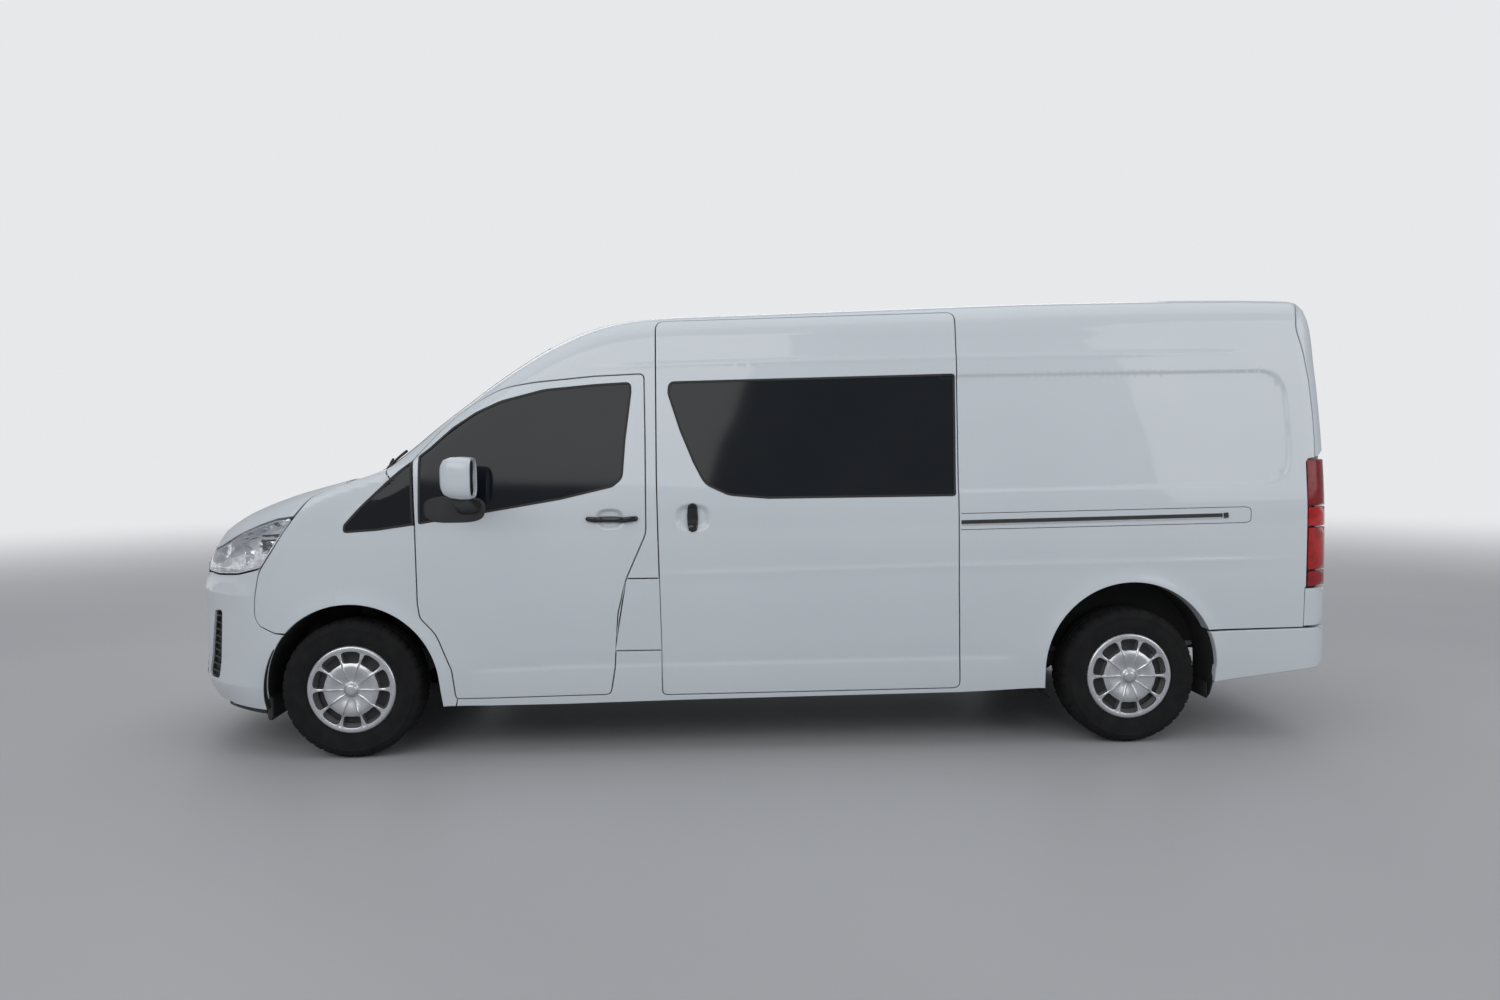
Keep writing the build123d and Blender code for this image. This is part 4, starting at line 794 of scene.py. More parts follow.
# ---------------------------------------------------------------- outlines seen from the side
FRONT_DOOR = [(329, 1141, 0), (314, 1456, 8), (420, 1577, 160), (512, 1669, 200), (618, 1743, 300),
              (745, 1807, 380), (900, 1833, 400), (1198, 1862, 400), (1438, 1873, 26),
              (1442, 1543, 300), (1443, 1092, 120), (1342, 865, 300), (1302, 700, 200),
              (1284, 430, 150), (1262, 298, 30), (506, 287, 20), (490, 430, 120), (420, 610, 200),
              (345, 692, 50), (335, 760, 60)]
FRONT_GLASS = [(352, 1152, 6), (348, 1474, 8), (400, 1514, 60), (509, 1613, 200), (619, 1685, 200),
               (740, 1740, 300), (952, 1795, 300), (1198, 1818, 300), (1371, 1828, 26),
               (1371, 1780, 60), (1341, 1544, 200), (1327, 1362, 50), (1280, 1322, 40),
               (1029, 1264, 300), (611, 1195, 300)]
SLIDING_DOOR = [(1515, 291, 26), (1513, 510, 200), (1501, 1090, 400), (1496, 1351, 300),
                (1494, 2139, 46), (2240, 2160, 500), (2998, 2181, 40), (2994, 1865, 100),
                (2986, 1267, 200), (2986, 808, 200), (2994, 300, 36)]
SLIDING_GLASS = [(1562, 1829, 30), (1558, 1775, 60), (1616, 1594, 200), (1680, 1436, 80),
                 (1735, 1330, 100), (1850, 1276, 150), (2045, 1259, 200), (2968, 1263, 12),
                 (2980, 1861, 12)]
QUARTER_GLASS = [(-8, 1114, 10), (150, 1124, 200), (320, 1148, 4), (306, 1446, 4), (205, 1358, 200),
                 (75, 1234, 200), (-4, 1146, 14)]
GATE_EDGE = [(4811, 1436, 0), (4813, 1517, 200), (4811, 1652, 200), (4802, 1815, 300),
             (4779, 1966, 300), (4748, 2090, 200), (4756, 2150, 0)]
BUMPER_EDGE = [(-440, 900, 60), (-462, 800, 300), (-468, 700, 60), (-440, 655, 40), (-399, 638, 60),
               (-356, 622, 0)]
FLAP = [(1344, 871, 2), (1508, 871, 2), (1516, 515, 2), (1284, 515, 2)]


def arch_run(arch, low, high, step=EDGE_STEP, grow=0.0):
    """Places round a wheel arch between two angles, in degrees from straight rearwards."""
    bits = int(abs(high - low) * math.pi / 180 * arch[2] / step) + 1
    angle = np.radians(np.linspace(low, high, bits))
    radius = arch[2] + grow
    return np.stack([arch[0] + radius * np.cos(angle), arch[1] + radius * np.sin(angle)], axis=1)


def crease_lines():
    """Lines of extra points along the side's folds."""
    lines = []
    x = np.arange(600, 4700, 22.0)
    for line, offsets, low, high in ((GUTTER_LINE, (-24, -10, -3, 4, 11, 24, 50), 700, 4600),
                                     (LOW_LINE, (-30, -14, -5, 0, 6, 14, 34), 560, 3300),
                                     (MID_LINE, (-24, -8, -2, 3, 10, 26), 1400, 4700)):
        run = x[(x > low) & (x < high)]
        for offset in offsets:
            lines.append(from_side(np.stack([run, line(run) + offset], axis=1)))
    for at_x, at_z, long, tall, _ in RECESSES:
        for share in (0.3, 0.55, 0.68, 0.78, 0.88, 0.96, 1.04):
            angle = np.radians(np.arange(0, 360, 9.0))
            c, d = np.cos(angle), np.sin(angle)
            lines.append(from_side(np.stack([at_x + long * share * np.sign(c) * np.abs(c) ** 0.77,
                                             at_z + tall * share * np.sign(d) * np.abs(d) ** 0.77],
                                            axis=1)))
    for arch in (FRONT_ARCH, REAR_ARCH):
        for grow in (10, 22, 38, 58, 84):
            run = arch_run(arch, -60, 240, 22.0, grow)
            lines.append(from_side(run[run[:, 1] > 300]))
    for back in (-3, 3, 8, 13, 18, 25):
        corners = [(2925, INSET_TOP(2925) - back), (4560, 1883 - back, 60),
                   (4662 - back, 1862 - back, 60), (4679 - back, 1761, 80), (4688 - back, 1518, 80),
                   (4674 - back, 1335 + back / 2, 60), (4600, 1293 + back, 80),
                   (2925, INSET_LOW(2925) + back)]
        lines.append(from_side(rounded([(c + (0.0,))[:3] for c in corners], 22.0, closed=False)))
    return lines


CREASES = crease_lines()


def near(lines, ring):
    """The lines that come near a ring."""
    low, high = ring.min(axis=0) - 40, ring.max(axis=0) + 40
    result = []
    for line in lines:
        keep = np.all((line > low) & (line < high), axis=1)
        if keep.any():
            result.append(line[keep])
    return result


def nearest(points, place):
    return int(np.argmin(np.hypot(points[:, 0] - place[0], points[:, 1] - place[1])))


def door_run(first, last):
    """The front door's outline from one place to another."""
    door = rounded(FRONT_DOOR)
    door = np.roll(door, -nearest(door, first), axis=0)
    return door[:nearest(door, last) + 1]


def frame_outline():
    """Edge of the left side: sill, rear arch, lamp, tailgate, roof seam, pillar, door."""
    sill = bend((506, 249), (1011, 251), (1668, 262), (2333, 269), (2995, 275), (3423, 289))
    arch = arch_run(REAR_ARCH, 180, 26)
    arch = np.concatenate([bend((3427, 289), (3427, 380)), arch])
    bumper = bend((4253, 571), (4743, 577))
    corner = bend((4745, 590), (4747, 776), (4754, 786), (4760, 1408), (4770, 1426), (4811, 1432))
    gate = bend(*GATE_EDGE)
    side_part = from_side(np.concatenate([sill, arch, bumper, corner, gate]))
    seam = from_above(bend((4792, -738, 0), (4700, -742, 60), (1600, -742, 900), (1100, -716, 300),
                           (1010, -700, 0)))
    pillar = from_ahead(bend((-702, 2010, 0), (-742, 1800, 400), (-790, 1560, 400),
                             (-822, 1425, 0)))
    foot = from_side(bend((176, 1418), (212, 1364)))
    window = from_side(bend((205, 1360, 0), (306, 1450, 0)))
    return np.concatenate([side_part, seam, pillar, foot, window[1:],
                           from_side(door_run((314, 1456), (506, 287)))])


def fender_outline():
    rows = [bend((443, 249), (504, 249)), door_run((506, 287), (329, 1141)),
            bend((318, 1146, 0), (150, 1122, 200), (-8, 1112, 12), (-4, 1148, 16), (75, 1236, 200),
                 (206, 1360, 0)),
            bend((212, 1364), (176, 1418))]
    low = from_side(np.concatenate(rows))
    top = from_above(bend((120, -868, 0), (30, -880, 80), (-60, -905, 200), (-148, -932, 0)))
    seam = from_side(bend((-165, 1284, 0), (-200, 1245, 100), (-245, 1188, 0), (-300, 1115, 100),
                          (-360, 1025, 100), (-424, 936, 14), *BUMPER_EDGE))
    arch = from_side(np.concatenate([arch_run(FRONT_ARCH, 138, 6), bend((432, 330), (441, 262))]))
    return np.concatenate([low, top, seam, arch])


def hood_outline():
    half = from_ahead(bend((-8, 996, 0), (-300, 998, 300), (-520, 1006, 200), (-600, 1018, 0)))
    lamp = from_side(bend((-765, 1010, 0), (-700, 1030, 60), (-616, 1067, 200), (-529, 1109, 200),
                          (-433, 1147, 200), (-334, 1178, 100), (-248, 1190, 0)))
    seam = from_side(bend((-245, 1194, 0), (-200, 1248, 100), (-166, 1284, 0)))
    top = from_above(bend((-148, -932, 0), (-60, -905, 200), (-20, -893, 50), (-32, -700, 300),
                          (-68, -400, 500), (-98, -8, 0)))
    return both_ways(np.concatenate([half, lamp, seam, top]))


def rectangle(left, right, low, high, radius):
    return rounded([(left, low, radius), (left, high, radius), (right, high, radius),
                    (right, low, radius)])


def panel(name, solid, node, material=SHADE_DARKENED_PAINT, body="body", right=False):
    tri_piece(name, solid, material, body, right, node)


# ---------------------------------------------------------------- body panels
SIDES = (("left", False), ("right", True))

FLANGE_REACH = 26.0
sliding_ring = from_side(rounded(SLIDING_DOOR))
flap_ring = from_side(rounded(FLAP))
frame_ring = frame_outline()


def flange(ring, chart):
    """The frame's ledge behind a door's edge."""
    back = DOOR_WALL + 1.0
    return slab(chart, ring, [shrunk(ring, chart, FLANGE_REACH)], thick=FRAME_WALL - back, gap=-2.0,
                grow=-back, lip=1.0, step=60.0, normal_step=20.0)


door_ring = from_side(rounded(FRONT_DOOR))
side_solid = join(slab(SIDE, frame_ring, [sliding_ring, flap_ring], thick=FRAME_WALL,
                       lines=near(CREASES, frame_ring)),
                  flange(sliding_ring, SIDE), flange(door_ring, SIDE),
                  slab(SIDE, flap_ring, thick=20))
fender_ring = fender_outline()
fender_solid = slab(SIDE, fender_ring, thick=24, lines=near(CREASES, fender_ring), step=26)
glass_ring = from_side(rounded(FRONT_GLASS))
door_solid = slab(SIDE, door_ring, [glass_ring], lines=near(CREASES, door_ring))
sliding_glass_ring = from_side(rounded(SLIDING_GLASS))
sliding_solid = slab(SIDE, sliding_ring, [sliding_glass_ring], lines=near(CREASES, sliding_ring))
door_glass = slab(SIDE, glass_ring, thick=5, gap=1.0, grow=-2.5, lip=0.8, step=16, normal_step=30.0)
sliding_glass = slab(SIDE, sliding_glass_ring, thick=5, gap=1.0, grow=-2.5, lip=0.8)
quarter_ring = from_side(rounded(QUARTER_GLASS))
quarter_glass = slab(SIDE, quarter_ring, thick=5, gap=1.5, grow=-1.5, lip=0.8, step=16,
                     normal_step=30.0)
SEALS = []
for side, right in SIDES:
    panel(f"side_panel_{side}", side_solid, f"side_frame_{side}", right=right)
    panel(f"fender_{side}", fender_solid, f"front_fender_{side}", right=right)
    panel(f"door_{side}", door_solid, f"front_door_{side}", body=f"front_door_{side}", right=right)
    panel(f"door_glass_{side}", door_glass, f"front_glass_{side}", GLASS, f"front_door_{side}",
          right)
    panel(f"slide_door_{side}", sliding_solid, f"sliding_door_{side}", right=right)
    panel(f"slide_glass_{side}", sliding_glass, "side_glass", GLASS, right=right)
    panel(f"quarter_glass_{side}", quarter_glass, "side_glass", GLASS, right=right)
    for name, ring, body in (("door", glass_ring, f"front_door_{side}"),
                             ("slide", sliding_glass_ring, "body"),
                             ("quarter", quarter_ring, "body")):
        SEALS.append((f"{name}_seal_{side}", ring, body, right))

hood_ring = hood_outline()
hood_solid = slab(NOSE, hood_ring, thick=26, step=30)
panel("hood_panel", hood_solid, "hood", body="hood")

screen_top = from_ahead(bend((-8, 2052, 0), (-300, 2046, 500), (-702, 2010, 0)))
roof_half = np.concatenate([screen_top, from_above(bend((1010, -700, 0), (1100, -716, 300),
                                                        (1600, -742, 900), (4700, -742, 60),
                                                        (4795, -738, 10), (4812, -600, 100),
                                                        (4828, -8, 0)))[1:]])
roof_solid = slab(TOP, both_ways(roof_half), thick=45, step=45)
panel("roof", roof_solid, "roof_panel")

screen_half = np.concatenate([from_ahead(bend((-8, 1375, 0), (-500, 1386, 500), (-800, 1424, 60),
                                              (-790, 1560, 300), (-742, 1800, 300),
                                              (-703, 2004, 0))), screen_top[::-1]])
screen_solid = slab(TOP, both_ways(screen_half), thick=6, step=45, grow=-3, gap=3)
panel("screen_glass", screen_solid, "windscreen", GLASS)

gate_half = np.concatenate([from_behind(bend((-8, 584), (-788, 584), (-790, 700), (-790, 1436))),
                            from_side(bend(*GATE_EDGE)),
                            from_above(bend((4792, -738, 0), (4812, -600, 100), (4828, -8, 0)))])
gate_glass_ring = from_behind(rounded([(690, 1330, 60), (640, 1960, 70), (-640, 1960, 70),
                                       (-690, 1330, 60)]))
gate_solid = slab(REAR, both_ways(gate_half), [gate_glass_ring], thick=55)
panel("tailgate_panel", gate_solid, "tailgate", body="tailgate")
panel("tailgate_window", slab(REAR, gate_glass_ring, thick=5, gap=1.0, grow=-2.5, lip=0.8),
      "tailgate_glass", GLASS, "tailgate")


# ---------------------------------------------------------------- helpers for small pieces
def grid_quads(index):
    """Faces of a grid of point numbers that closes round its columns."""
    nxt = np.roll(index, -1, axis=1)
    return np.stack([index[:-1], nxt[:-1], nxt[1:], index[1:]], axis=-1).reshape(-1, 4)


def capped_faces(shape, first=0):
    """Faces of a grid that closes round its columns, with a cap over its first and last row."""
    index = np.arange(shape[0] * shape[1]).reshape(shape[:2]) + first
    return grid_quads(index).tolist() + [index[0][::-1].tolist(), index[-1].tolist()]


def clean(mesh, merge=True):
    """Joins doubled points and turns the faces outwards."""
    work = bmesh.new()
    work.from_mesh(mesh)
    if merge:
        bmesh.ops.remove_doubles(work, verts=work.verts, dist=1e-6)
    bmesh.ops.recalc_face_normals(work, faces=work.faces)
    work.to_mesh(mesh)
    work.free()


def piece(name, mesh, materials, sharp, body, node=None):
    """Piece from a mesh, smooth but for edges sharper than an angle in degrees."""
    for material in materials:
        mesh.materials.append(material)
    clean(mesh)
    mesh.shade_smooth()
    mesh.set_sharp_from_angle(angle=math.radians(sharp))
    declare(link(name, mesh), body, node)


def quad_mesh(name, grids, material=BLACK_TRIM, body="body", node=None,
              right=False):
    """Piece from grids of points (rows, columns, 3), given as they are on the left."""
    verts, faces = [], []
    for grid in grids:
        grid = mirrored(grid) if right else np.asarray(grid, float)
        faces += capped_faces(grid.shape, len(verts))
        verts.extend(grid.reshape(-1, 3))
    mesh = bpy.data.meshes.new(name)
    mesh.from_pydata(to_row(verts).tolist(), [], faces)
    mesh.update()
    piece(name, mesh, [material], 38, body, node)


def squircle(half_a, half_b, power=4.0, count=32):
    """A rounded rectangle as (a, b) pairs."""
    angle = np.linspace(0, 2 * math.pi, count, endpoint=False)
    c, d = np.cos(angle), np.sin(angle)
    return np.stack([half_a * np.sign(c) * np.abs(c) ** (2 / power),
                     half_b * np.sign(d) * np.abs(d) ** (2 / power)], axis=1)


def loft(sections, axis=0, power=4.0, count=32):
    """Grid through rounded rectangles: (place along axis, middle a, middle b, half a, half b)."""
    others = [i for i in range(3) if i != axis]
    grid = []
    for place, mid_a, mid_b, half_a, half_b in sections:
        ring = np.zeros((count, 3))
        pairs = squircle(max(half_a, 0.01), max(half_b, 0.01), power, count)
        ring[:, axis] = place
        ring[:, others[0]] = mid_a + pairs[:, 0]
        ring[:, others[1]] = mid_b + pairs[:, 1]
        grid.append(ring)
    return np.array(grid)


def soft_box(low, high, round_by=12.0, power=5.0, axis=0, count=32):
    """Rounded box between two corners."""
    low, high = np.array(low, float), np.array(high, float)
    others = [i for i in range(3) if i != axis]
    mid, half = (low + high) / 2, (high - low) / 2
    round_by = min(round_by, half.min() * 0.98)
    rows = [(low[axis] + round_by * (1 - math.cos(t)), round_by * (1 - math.sin(t)))
            for t in np.linspace(0, math.pi / 2, 5)]
    ends = rows + [(2 * mid[axis] - a, b) for a, b in rows[::-1]]
    return loft([(a, mid[others[0]], mid[others[1]], half[others[0]] - b, half[others[1]] - b)
                 for a, b in ends], axis, power, count)


def ribbon(name, path, width, proud, material=BLACK_TRIM, body="body", right=False,
           sink=1.5, closed=False, node=None):
    """A flat strip along a path of skin points."""
    normal = skin_normal(path, 6.0)
    if closed:
        ahead = unit(np.roll(path, -1, axis=0) - np.roll(path, 1, axis=0))
    else:
        ahead = unit(np.gradient(path, axis=0))
    side = np.cross(ahead, normal) * width / 2
    ring = np.stack([path - side - normal * sink, path - side + normal * proud,
                     path + side + normal * proud, path + side - normal * sink], axis=1)
    count = len(path)
    verts = ring.reshape(-1, 3)
    tris = []
    for i in range(count if closed else count - 1):
        n = (i + 1) % count
        for j in range(4):
            k = (j + 1) % 4
            tris += [(4 * i + j, 4 * i + k, 4 * n + k), (4 * i + j, 4 * n + k, 4 * n + j)]
    if not closed:
        last = 4 * (count - 1)
        tris += [(0, 2, 1), (0, 3, 2), (last, last + 1, last + 2), (last, last + 2, last + 3)]
    tris = np.array(tris)
    out = verts[tris].mean(axis=1) - path[np.minimum(tris[:, 0] // 4, count - 1)]
    if np.sum(np.sum(cross_of(verts, tris) * out, axis=1)) < 0:
        tris = tris[:, ::-1]
    tri_piece(name, (verts, tris, None), material, body, right, node)


def tube(path, radius, count=12):
    """Grid round a path."""
    path = np.asarray(path, float)
    ahead = unit(np.gradient(path, axis=0))
    guide = np.array([0, 0, 1.0])
    grid = []
    for p, a in zip(path, ahead):
        if abs(a @ guide) > 0.95:
            first = unit(np.cross(a, np.array([1.0, 0, 0])))
        else:
            first = unit(np.cross(a, guide))
        second = np.cross(a, first)
        angle = np.linspace(0, 2 * math.pi, count, endpoint=False)[:, None]
        grid.append(p + radius * (np.cos(angle) * first + np.sin(angle) * second))
    return np.array(grid)


for name, ring, body, right in SEALS:
    ribbon(name, ring, 11, 1.0, SEAL, body, right, closed=True, sink=5.0)
ribbon("screen_seal", both_ways(screen_half), 16, 0.8, SEAL, closed=True, sink=8.0)
ribbon("tail_glass_seal", gate_glass_ring, 11, 1.0, SEAL, "tailgate", closed=True, sink=5.0)

# ---------------------------------------------------------------- nose: bumper, grille, lamps, cowl
bumper_top = np.concatenate([from_ahead(bend((-8, 866, 0), (-540, 866, 30), (-572, 872, 30),
                                             (-606, 893, 0))),
                             from_side(bend((-780, 893, 0), (-700, 892, 60), (-560, 903, 200),
                                            (-424, 936, 0)))])
bumper_seam = from_side(bend((-427, 934, 0), *BUMPER_EDGE))
bumper_arch = from_side(np.concatenate([arch_run(FRONT_ARCH, 139, 186), [(-418, 236)]]))
bumper_low = np.concatenate([from_side(bend((-430, 231, 0), (-578, 234, 100), (-663, 236, 0))),
                             from_ahead(bend((-758, 240, 0), (-560, 240, 200), (-8, 238, 0)))])
bumper_half = np.concatenate([bumper_top, bumper_seam, bumper_arch, bumper_low])
BUMPER_LINES = []
for z in (322, 334, 341, 348, 356, 368, 740, 775, 790, 797, 803, 812, 830):
    run = np.arange(-590, 591, 20.0)
    BUMPER_LINES.append(from_ahead(np.stack([run, np.full(len(run), float(z))], axis=1)))
    run = np.arange(-800, -440, 18.0)
    BUMPER_LINES.append(from_side(np.stack([run, np.full(len(run), float(z))], axis=1)))
    BUMPER_LINES.append(mirrored(BUMPER_LINES[-1]))
intake_ring = from_ahead(rounded([(-560, 330, 40), (-500, 600, 50), (500, 600, 50),
                                  (560, 330, 40)]))
vent_ring = from_ahead(rounded([(-752, 712, 12), (-722, 366, 18), (-590, 358, 26),
                                (-684, 700, 14)]))
panel("bumper_front", slab(NOSE, both_ways(bumper_half),
                           [intake_ring, vent_ring, mirrored(vent_ring)], thick=12, step=26,
                           lip=3.5, lines=BUMPER_LINES), "front_bumper")
for name, ring in (("intake_back", intake_ring), ("vent_back_left", vent_ring),
                   ("vent_back_right", mirrored(vent_ring))):
    panel(name, slab(NOSE, ring, thick=8, gap=0.5, grow=-26, step=40), "grille", BLACK_TRIM)
    wall = slab(NOSE, shrunk(ring, NOSE, -4), [shrunk(ring, NOSE, 5)], thick=14, gap=0.5,
                grow=-12.5, step=40)
    panel(f"{name}_wall", wall, None, BLACK_TRIM)
for row in range(6):
    z = 352 + row * 40
    half = 548 - 60 * (z - 330) / 270
    ribbon(f"intake_bar_{row}", from_ahead(bend((-half, z), (half, z))), 15, -4, sink=24)
for row in range(9):
    z = 392 + row * 36
    low, high = np.interp(z, [360, 705], [-604, -690]), np.interp(z, [366, 712], [-724, -752])
    for side, right in SIDES:
        ribbon(f"vent_bar_{side}_{row}", from_ahead(bend((low - 4, z), (high + 4, z))), 9, -9,
               right=right, sink=26)
grille_half = from_ahead(bend((-8, 872, 0), (-540, 872, 24), (-556, 880, 20), (-566, 985, 20),
                              (-540, 990, 20), (-300, 986, 200), (-8, 984, 0)))
panel("grille_back", slab(NOSE, both_ways(grille_half), thick=10, grow=-24, gap=2, step=40),
      "grille", GLOSS_BLACK)
for row in range(4):
    z = 889 + row * 26
    ribbon(f"grille_bar_{row}", from_ahead(bend((-556, z), (556, z))), 12, -2, GLOSS_BLACK, sink=24)
ribbon("grille_bright_bar", from_ahead(bend((-550, 928), (550, 928))), 7, 1, SILVER, sink=3)

lamp_rows = np.concatenate([from_side(bend((-424, 940, 10), (-360, 1028, 100), (-300, 1112, 100),
                                           (-249, 1183, 12), (-334, 1173, 100), (-433, 1142, 200),
                                           (-529, 1104, 200), (-616, 1062, 200), (-700, 1025, 60),
                                           (-760, 1006, 0))),
                            from_ahead(bend((-604, 1014, 0), (-576, 1004, 20), (-580, 900, 30),
                                            (-606, 897, 0))),
                            from_side(bend((-780, 897, 0), (-700, 896, 60), (-560, 907, 200),
                                           (-440, 936, 0)))])
LAMP_DEPTH = 62.0
HOUSING = surface("lamp_housing", (0.92, 0.93, 0.94), (0.80, 0.81, 0.83), rough=(0.10, 0.18),
                  metal=1.0, scale=28.0, bump=0.5, bump_scale=26.0, distance=0.004)
LAMP_DARK = surface("lamp_bezel", (0.03, 0.03, 0.032), (0.05, 0.05, 0.052), rough=(0.2, 0.3),
                    bump=0.05)
lens_solid = slab(NOSE, lamp_rows, thick=4, gap=2, lip=1.2, step=24)
shell_solid = slab(NOSE, lamp_rows, thick=5, gap=6, grow=-LAMP_DEPTH, step=24)
wall_solid = slab(NOSE, lamp_rows, [shrunk(lamp_rows, NOSE, 12)], thick=LAMP_DEPTH - 4, gap=2.4,
                  grow=-4.5, step=60)
for side, right in SIDES:
    sign = 1 if right else -1
    panel(f"headlight_lens_{side}", lens_solid, "headlights", CLEAR_LENS,
          right=right)
    panel(f"headlight_shell_{side}", shell_solid, "headlights", HOUSING, right=right)
    panel(f"headlight_wall_{side}", wall_solid, "headlights", HOUSING, right=right)
    for number, (x, y, z, radius) in enumerate(((-640, 672, 956, 42), (-546, 782, 990, 44),
                                                (-432, 868, 1040, 34))):
        ahead = unit(np.array([-0.92, sign * 0.38, -0.02]))
        first = unit(np.cross(ahead, np.array([0, 0, 1.0])))
        second = np.cross(ahead, first)
        angle = np.linspace(0, 2 * math.pi, 40, endpoint=False)[:, None]
        centre = np.array([x, sign * y, z])
        around = np.cos(angle) * first + np.sin(angle) * second
        profile = [(-34, 0.1), (-32, radius * 0.45), (-22, radius * 0.75), (0, radius * 0.98),
                   (3, radius + 2), (0, radius + 4), (-24, radius * 0.8), (-36, 0.1)]
        bowl = [centre + ahead * out + r * around for out, r in profile]
        quad_mesh(f"lamp_bowl_{side}_{number}", [np.array(bowl)], CHROME)
        ball = [centre + ahead * (-30 + 26 * math.sin(t)) + radius * 0.62 * math.cos(t) * around
                for t in np.linspace(0, math.pi / 2, 8)]
        quad_mesh(f"lamp_ball_{side}_{number}", [np.array(ball)], CLEAR_LENS)
    for number, z in enumerate((1046, 1072, 1098)):
        fin = from_side(bend((-424 + number * 6, z), (-342 + number * 16, z + 5)))
        ribbon(f"lamp_fin_{side}_{number}", fin, 9, -6, LAMP_DARK, right=right, sink=44)

# wheelhouse liners and the black lip under the bumper
LINER = surface("liner_felt", (0.010, 0.010, 0.010), (0.018, 0.018, 0.018), rough=(0.85, 0.95),
                scale=14.0, bump=0.6, bump_scale=220.0, distance=0.0015)


def liner(name, arch, start, end, y_in, y_out, feet, right):
    """Arched liner with ribs, from the inner wall to the arch's lip; feet lie past its ends."""
    angle = np.radians(np.linspace(start, end, 72))
    reach = arch[2] + 3
    ring = np.stack([arch[0] + reach * np.cos(angle), arch[1] + reach * np.sin(angle)], axis=1)
    ring = np.concatenate([[feet[0]], ring, [feet[1]]])
    ahead = unit(np.gradient(ring, axis=0))
    out = np.stack([ahead[:, 1], -ahead[:, 0]], axis=1)
    ribs = 3.0 * np.abs(np.sin(np.arange(len(ring)) * 0.65)) ** 6
    section = [(0, y_in, 0), (0, y_in + 20, 0), (0, y_in + 60, 1), (0, y_out - 60, 1),
               (0, y_out - 20, 0), (0, y_out, 0), (6, y_out, 0), (6, y_out - 60, 1),
               (6, y_in + 60, 1), (6, y_in, 0)]
    grid = []
    for lift, y, ribbed in section:
        place = ring + out * (lift + ribs * ribbed)[:, None]
        grid.append(np.stack([place[:, 0], np.full(len(place), -y), place[:, 1]], axis=1))
    grid = np.swapaxes(np.array(grid), 0, 1)
    quad_mesh(name, [grid], LINER, right=right)


for side, right in SIDES:
    liner(f"liner_front_{side}", FRONT_ARCH, -4, 186, 505, 938, ((438, 262), (-402, 250)), right)
    liner(f"liner_rear_{side}", REAR_ARCH, -22, 200, 695, 930, ((4262, 300), (3440, 262)), right)
    for name, arch, y, low in (("front", FRONT_ARCH, 500, 590), ("rear", REAR_ARCH, 690, 470)):
        angle = np.linspace(0, 2 * math.pi, 60, endpoint=False)
        radius = arch[2] + 6
        grid = []
        for out, share in ((0, 0.01), (0, 0.5), (0, 1.0), (7, 1.0), (7, 0.5), (7, 0.01)):
            z = np.maximum(arch[1] + radius * share * np.sin(angle), low)
            z = np.where(np.sin(angle) < 0, low, z)
            grid.append(np.stack([arch[0] + radius * share * np.cos(angle),
                                  np.full(60, -(y - 4 + out)), z], axis=1))
        quad_mesh(f"wheelhouse_wall_{name}_{side}", [np.array(grid)], LINER, right=right)
    edge = from_side(bend((-700, 246), (-430, 240)))
    path = edge[::2] + [0, 10, -14]
    blade = np.stack([path + [0, 0, 16], path + [14, 12, 16], path + [18, 14, -16],
                      path + [8, 7, -16]], axis=1)
    blade[:, :, 2] += np.linspace(4, 0, len(path))[:, None]
    quad_mesh(f"bumper_lip_{side}", [blade], right=right)
    flap = soft_box((-422, -900, 186), (-392, -690, 300), 10, 4.0, 1)
    quad_mesh(f"wheel_deflector_{side}", [flap], right=right)
tray_edge = [(-800, 420), (-690, 560), (-520, 760), (-420, 850), (-400, 480), (80, 480)]
tray = [[(x, -y, z + (x + 930) * 0.02) for x, y in tray_edge]
        + [(x, y, z + (x + 930) * 0.02) for x, y in tray_edge[::-1]] for z in (232, 240)]
quad_mesh("undertray", [np.array(tray, float)])

# cowl, wipers
cowl_half = np.concatenate([from_above(bend((-92, -8, 0), (-62, -400, 500), (-26, -700, 300),
                                            (-14, -889, 30), (118, -862, 0))),
                            from_ahead(bend((-822, 1420, 0), (-800, 1418, 60), (-500, 1381, 500),
                                            (-8, 1370, 0)))])
panel("cowl", slab(TOP, both_ways(cowl_half), thick=14, grow=-10, gap=1, step=30), "cowl_panel",
      BLACK_TRIM)


def on_screen(rows, proud):
    path = from_ahead(bend(*rows))
    return path + skin_normal(path, 12.0) * proud


for name, pivot, elbow, tip in (("right", (560, 1402), (240, 1440), (-60, 1470)),
                                ("left", (-120, 1392), (-430, 1440), (-690, 1500))):
    arm = on_screen([pivot, elbow], 22)
    quad_mesh(f"wiper_arm_{name}", [tube(arm, 6, 8)])
    half = np.array(tip) - np.array(elbow)
    blade = on_screen([tuple(np.array(elbow) - half * 0.9), tuple(np.array(elbow) + half * 0.9)], 8)
    quad_mesh(f"wiper_blade_{name}", [tube(blade, 7, 8)])
    hub = on_screen([pivot, (pivot[0] + 2, pivot[1])], 10)[0]
    quad_mesh(f"wiper_hub_{name}", [loft([(hub[2] - 20, hub[0], hub[1], 18, 18),
                                          (hub[2] + 14, hub[0], hub[1], 16, 16),
                                          (hub[2] + 19, hub[0], hub[1], 10, 10)], 2, 2.0, 20)])

